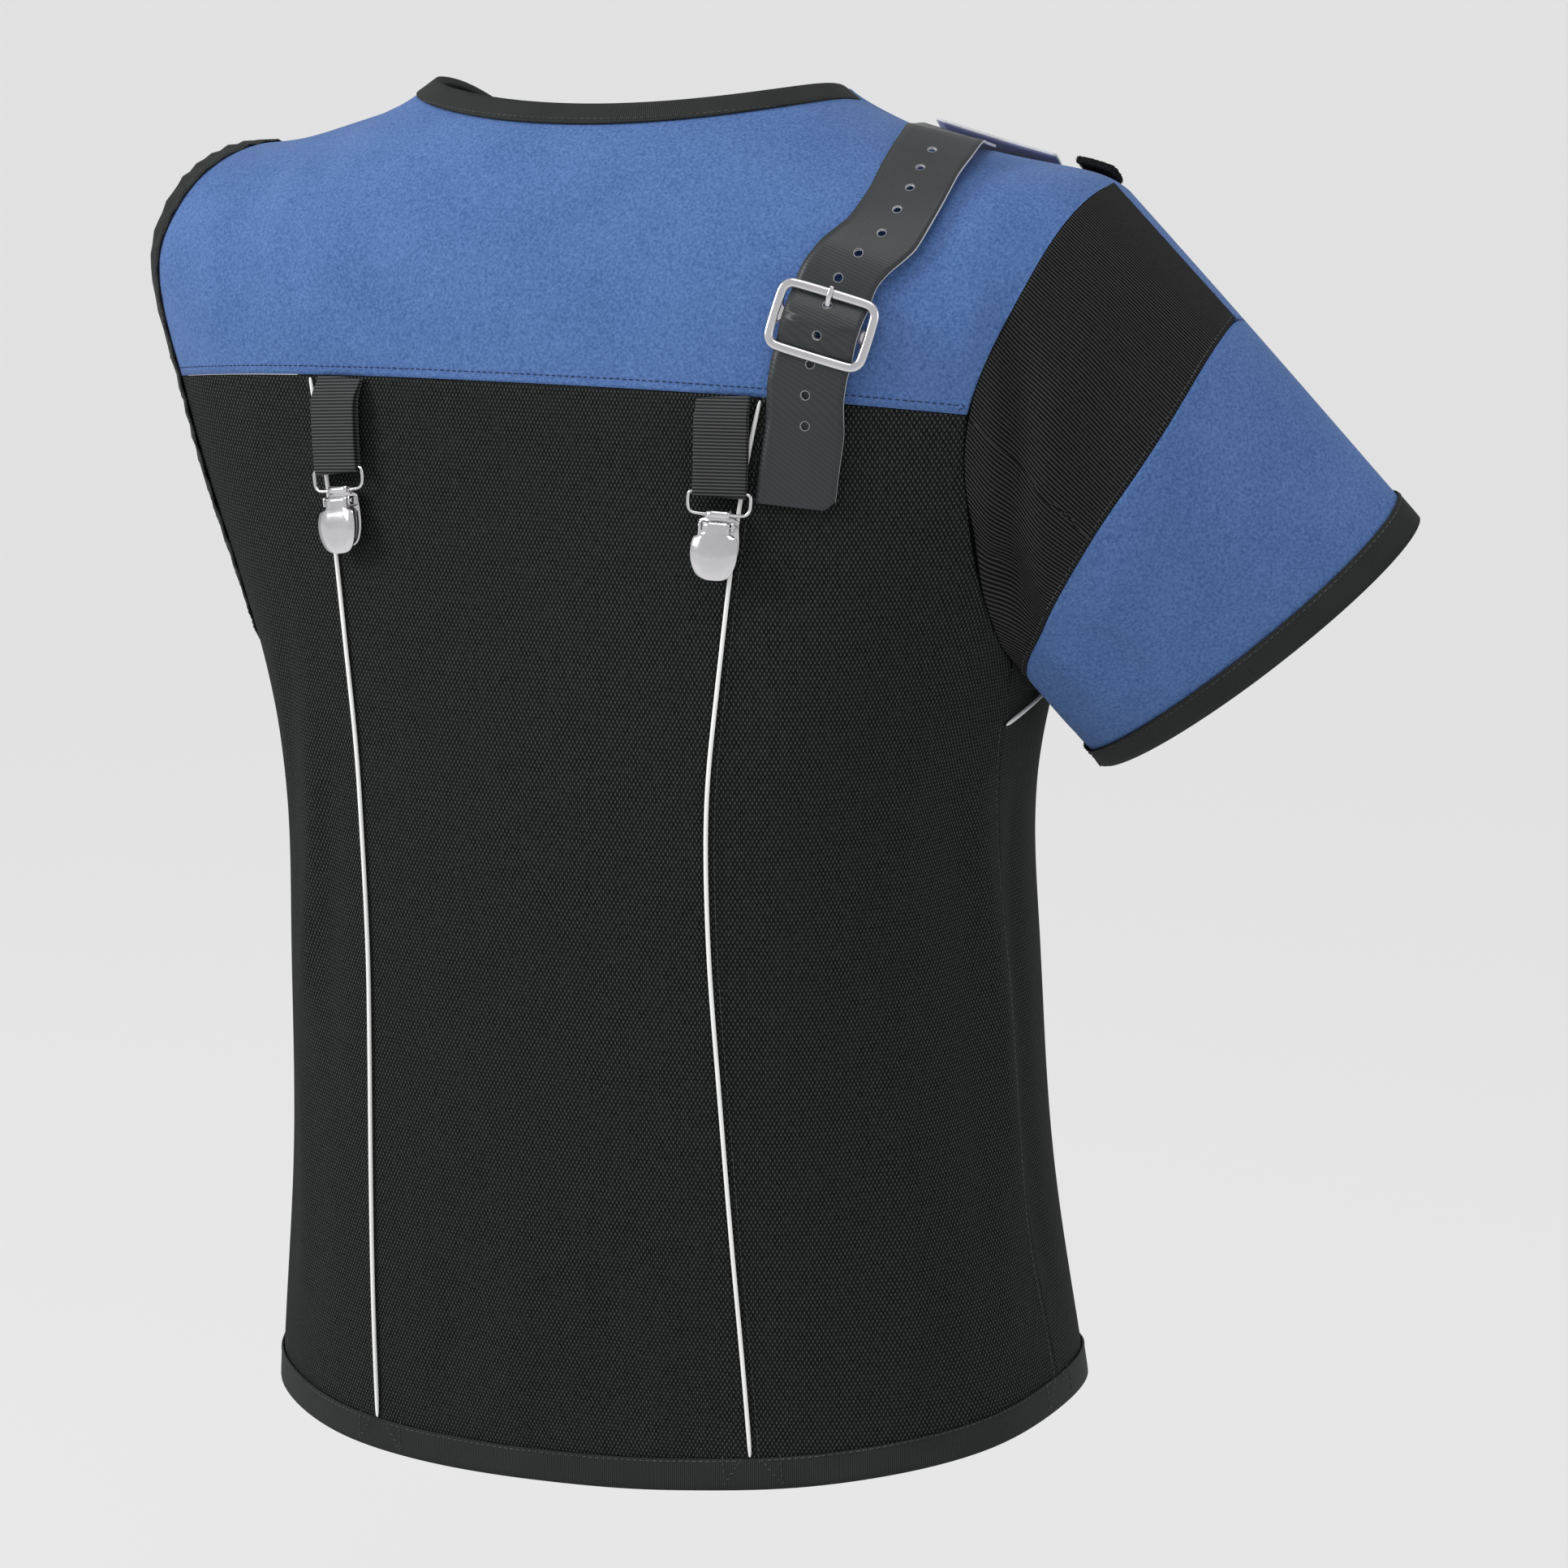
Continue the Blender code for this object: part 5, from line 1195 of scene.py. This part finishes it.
TRIMS = (
    *(
        Trim("piping_" + name, (PIPING,), "white_piping", crease=0.0, creased_cloth=True)
        for name in ("back_left", "back_right", "front_left", "front_right")
    ),
    Trim("strap", (COATED, BACKING, CUT_EDGE), "coated_strap", crease=1.0),
    Trim("strap_front_end", (COATED, BACKING, CUT_EDGE), "strap_underside", crease=1.0),
    Trim("buckle_chape", (COATED, BACKING, CUT_EDGE), "coated_strap", crease=1.0),
    *(Trim("webbing_tab_" + side, (WEBBING,), "black_webbing", levels=3) for side in SIDES),
    *(Trim("zip_tape_" + side, (GROSGRAIN,), "black_binding", crease=0.8) for side in SIDES),
    Trim("buckle_frame", (NICKEL,), "nickel", crease=0.25),
    Trim("buckle_prong", (NICKEL,), "nickel", crease=0.5),
    Trim("zip_slider", (NICKEL,), "nickel", crease=0.7),
    Trim("zip_pull_tab", (NICKEL,), "nickel", "zip_pull", crease=0.7),
    *(Trim("bail_" + side, (NICKEL,), "nickel", "bail_" + side, crease=0.0) for side in SIDES),
    *(Trim("clip_body_" + side, (NICKEL,), "nickel", "clip_" + side, crease=0.75) for side in SIDES),
    *(Trim("clip_lever_" + side, (NICKEL,), "nickel", "lever_" + side, crease=0.75) for side in SIDES),
)


@dataclass
class Trimmings:
    """Cords, strap, webbing tabs, buckle, clips and the zip's solid pieces."""

    frame: dict
    finishes: Finishes
    sharp: float = math.radians(40)
    hole_rim: float = 0.00022
    hole_radius: float = 0.0021
    longest_hole_edge: float = 0.03
    inside: tuple[float, float, float] = (0.0, 0.0, -0.20)
    pieces: dict[str, bpy.types.Object] = field(default_factory=dict)

    def build(self) -> None:
        """Makes every trim."""
        for trim in TRIMS:
            mesh = shell_of(self.frame["nodes"][trim.node], Vector(self.inside), self.sharp, trim.crease)
            made = smoothed(trim.node + "_piece", mesh, trim.levels)
            if trim.creased_cloth:
                put(made.data, BODY_DRAPE.moved(places(made.data)))
            lay_pattern(made.data, Pattern.STRIP)
            wear(made, [self.finishes.get(finish) for finish in trim.finishes])
            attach(made, trim.body)
            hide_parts(trim.node)
            self.pieces[trim.node] = made
            LOG.info("%s: %d faces", made.name, len(made.data.polygons))
        self.rim_holes()

    def rim_holes(self) -> None:
        """Pale cut rims round the strap's holes."""
        strap = self.pieces["strap"]
        spots, facings = [], []
        for at, _ in border_loops(strap.data):
            length = np.linalg.norm(np.diff(at, axis=0), axis=1).sum()
            if length < self.longest_hole_edge:
                spots.append(tuple(at.mean(0)))
                turned = np.cross(at - at.mean(0), np.roll(at, -1, 0) - at.mean(0)).sum(0)
                facings.append(unit(turned))
        mesh = bpy.data.meshes.new("strap_hole_rims")
        mesh.from_pydata(spots, [], [])
        turns = mesh.attributes.new("facing", "FLOAT_VECTOR", "POINT")
        turns.data.foreach_set("vector", np.array(facings).ravel())
        tree = GeometryTree("hole_rims")
        entry = tree.sizes(Radius="NodeSocketFloat", Rim="NodeSocketFloat")
        inputs = {"Radius": entry["Radius"], "Resolution": 24}
        circle = tree.add("GeometryNodeCurvePrimitiveCircle", inputs)
        inputs = {"Radius": entry["Rim"], "Resolution": 6}
        rim = tree.add("GeometryNodeCurvePrimitiveCircle", inputs)
        inputs = {"Curve": circle.outputs[0], "Profile Curve": rim.outputs[0]}
        sweep = tree.add("GeometryNodeCurveToMesh", inputs)
        inputs = {"Name": "facing"}
        facing = tree.add("GeometryNodeInputNamedAttribute", inputs, data_type="FLOAT_VECTOR")
        inputs = {"Vector": facing.outputs[0]}
        align = tree.add("FunctionNodeAlignRotationToVector", inputs, axis="Z")
        spots_only = tree.add("GeometryNodeMeshToPoints", {"Mesh": entry["Geometry"]})
        inputs = {
            "Points": spots_only.outputs[0],
            "Instance": sweep.outputs[0],
            "Rotation": align.outputs[0],
        }
        copies = tree.add("GeometryNodeInstanceOnPoints", inputs)
        tree.finish(copies.outputs[0], self.finishes.get(HOLE_EDGE))
        made = tree.applied(add_mesh("strap_hole_rims", mesh), Radius=self.hole_radius, Rim=self.hole_rim)
        made.data.shade_smooth()
        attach(made, "vest")
        LOG.info("%s: %d holes", made.name, len(spots))


@dataclass
class Zip:
    """The zip's teeth, in place of its plain chain."""

    frame: dict
    finishes: Finishes
    pitch: float = 0.0024
    tooth: tuple[float, float, float] = (0.0011, 0.0030, 0.0016)
    beside: float = 0.0011
    end_margin: float = 0.001
    levels: int = 60
    near_points: int = 8

    def build(self) -> None:
        """Makes both rows of teeth."""
        points = places(self.frame["nodes"]["zip_chain"].data)
        heights = points[:, 2]
        top, bottom = heights.max() - self.end_margin, heights.min() + self.end_margin
        lines = []
        for number, side in enumerate((-1, 1)):
            line = []
            for level in np.linspace(top, bottom, self.levels):
                near = points[np.argsort(np.abs(heights - level))[: self.near_points]]
                line.append(near.mean(0) + (side * self.beside, 0.0, 0.0))
            line = np.array(line)
            steps = np.linalg.norm(np.diff(line, axis=0), axis=1)
            gone = np.concatenate([[0], np.cumsum(steps)])
            even = np.arange(number * self.pitch / 2, gone[-1], self.pitch / 2)
            lines.append(np.stack([np.interp(even, gone, line[:, k]) for k in range(3)], 1))
        material = self.finishes.get(NICKEL)
        made = row_along("zip_teeth", lines, Shape.TOOTH, self.pitch, self.tooth, material)
        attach(made, "vest")
        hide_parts("zip_chain")
        LOG.info("%s: %d faces", made.name, len(made.data.polygons))


@dataclass
class LoopStrip:
    """The fastening strip at the strap's front end, with its looped pile."""

    frame: dict
    finishes: Finishes
    density: float = 2600000.0
    loop_radius: float = 0.0008
    loop_thread: float = 0.00011
    sharp: float = math.radians(50)
    crease: float = 0.8
    inside: tuple[float, float, float] = (0.0, 0.0, -0.30)

    def build(self) -> None:
        """Makes the strip and its loops."""
        node = self.frame["nodes"]["hook_and_loop_strip"]
        mesh = shell_of(node, Vector(self.inside), self.sharp, self.crease)
        strip = smoothed("hook_and_loop_strip_piece", mesh, 2)
        lay_pattern(strip.data, Pattern.STRIP)
        wear(strip, [self.finishes.get(LOOPS)])
        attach(strip, "vest")
        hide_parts("hook_and_loop_strip")
        tree = GeometryTree("pile_loops")
        sizes = {title: "NodeSocketFloat" for title in ("Density", "Radius", "Thread")}
        entry = tree.sizes(**sizes)
        inputs = {"Mesh": entry["Geometry"], "Density": entry["Density"], "Seed": 7}
        scatter = tree.add("GeometryNodeDistributePointsOnFaces", inputs)
        inputs = {"Radius": entry["Radius"], "Resolution": 6, "Sweep Angle": math.pi}
        arc = tree.add("GeometryNodeCurveArc", inputs)
        inputs = {"Radius": entry["Thread"], "Resolution": 4}
        thread = tree.add("GeometryNodeCurvePrimitiveCircle", inputs)
        inputs = {"Curve": arc.outputs[0], "Profile Curve": thread.outputs[0]}
        sweep = tree.add("GeometryNodeCurveToMesh", inputs)
        inputs = {"Min": (1.0, -0.5, -math.pi), "Max": (2.1, 0.5, math.pi)}
        spin = tree.add("FunctionNodeRandomValue", inputs, data_type="FLOAT_VECTOR")
        inputs = {
            "Points": scatter.outputs["Points"],
            "Instance": sweep.outputs[0],
            "Rotation": spin.outputs[0],
        }
        copies = tree.add("GeometryNodeInstanceOnPoints", inputs)
        tree.finish(copies.outputs[0], self.finishes.get(LOOPS))
        base = add_mesh("pile_loops", strip.data.copy())
        made = tree.applied(base, Density=self.density, Radius=self.loop_radius, Thread=self.loop_thread)
        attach(made, "vest")
        LOG.info("%s: %d faces", made.name, len(made.data.polygons))


# Studio


def turned_to(place: tuple, target: tuple) -> Euler:
    """The turn of a light or camera that faces a target from a place."""
    return (Vector(target) - Vector(place)).to_track_quat("-Z", "Y").to_euler()


@dataclass
class Studio:
    """A pale floor, soft lights and the camera."""

    floor_height: float = -1.0
    floor_size: float = 400.0
    floor_tone: float = 0.22
    floor_glow: float = 0.60
    sky: float = 0.62

    def floor(self) -> None:
        """The floor."""
        half = self.floor_size / 2
        corners = [(-half, -half), (half, -half), (half, half), (-half, half)]
        mesh = bpy.data.meshes.new("floor")
        mesh.from_pydata([(x, y, self.floor_height) for x, y in corners], [], [(0, 1, 2, 3)])
        made = add_mesh("floor", mesh)
        finish = Finish("pale_floor", (self.floor_tone * 0.985,) * 3, (self.floor_tone,) * 3, 0.9, relief=0.0)
        material = finish.build(Groups())
        shader = material.node_tree.nodes["Principled BSDF"]
        shader.inputs["Emission Color"].default_value = (1.0, 1.0, 1.0, 1.0)
        shader.inputs["Emission Strength"].default_value = self.floor_glow
        made.data.materials.append(material)

    def lamp(self, name: str, place: tuple, target: tuple, size: float, power: float) -> None:
        """A square soft light that faces a target.

        Args:
            name: The light's name.
            place: Where it stands.
            target: What it faces.
            size: Length of its side.
            power: Its power in watts.
        """
        data = bpy.data.lights.new(name, "AREA")
        data.size = size
        data.energy = power
        made = bpy.data.objects.new(name, data)
        made.location = place
        made.rotation_euler = turned_to(place, target)
        bpy.context.scene.collection.objects.link(made)

    def camera(self) -> None:
        """The camera at the photograph's angle."""
        data = bpy.data.cameras.new("camera")
        data.lens = LENS
        data.sensor_width = SENSOR
        data.clip_start = 0.05
        data.clip_end = 400.0
        made = bpy.data.objects.new("camera", data)
        made.location = CAMERA_PLACE
        made.rotation_euler = turned_to(CAMERA_PLACE, CAMERA_TARGET)
        bpy.context.scene.collection.objects.link(made)
        bpy.context.scene.camera = made

    def build(self) -> None:
        """Makes the floor, the lights and the camera."""
        self.camera()
        self.floor()
        world = bpy.data.worlds.new("studio")
        world.use_nodes = True
        world.node_tree.nodes["Background"].inputs["Color"].default_value = (1.0, 1.0, 1.0, 1.0)
        world.node_tree.nodes["Background"].inputs["Strength"].default_value = self.sky
        bpy.context.scene.world = world
        bpy.context.scene.view_settings.view_transform = "Standard"
        middle = (0.0, 0.0, -0.30)
        self.lamp("key", (1.7, 1.7, 1.0), middle, 1.1, 40.0)
        self.lamp("top", (-0.4, 0.9, 1.9), middle, 1.4, 14.0)
        self.lamp("rim", (-1.9, 0.2, 0.3), middle, 1.0, 3.0)


def main() -> None:
    """Builds the vest's looks around the solids."""
    logging.basicConfig(level=logging.INFO, format="%(message)s")
    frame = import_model()
    Studio().build()
    finishes = Finishes()
    garment = Garment(frame, finishes)
    garment.build()
    Stitching(frame, garment, finishes).build()
    Trimmings(frame, finishes).build()
    Zip(frame, finishes).build()
    LoopStrip(frame, finishes).build()


if __name__ == "__main__":
    main()
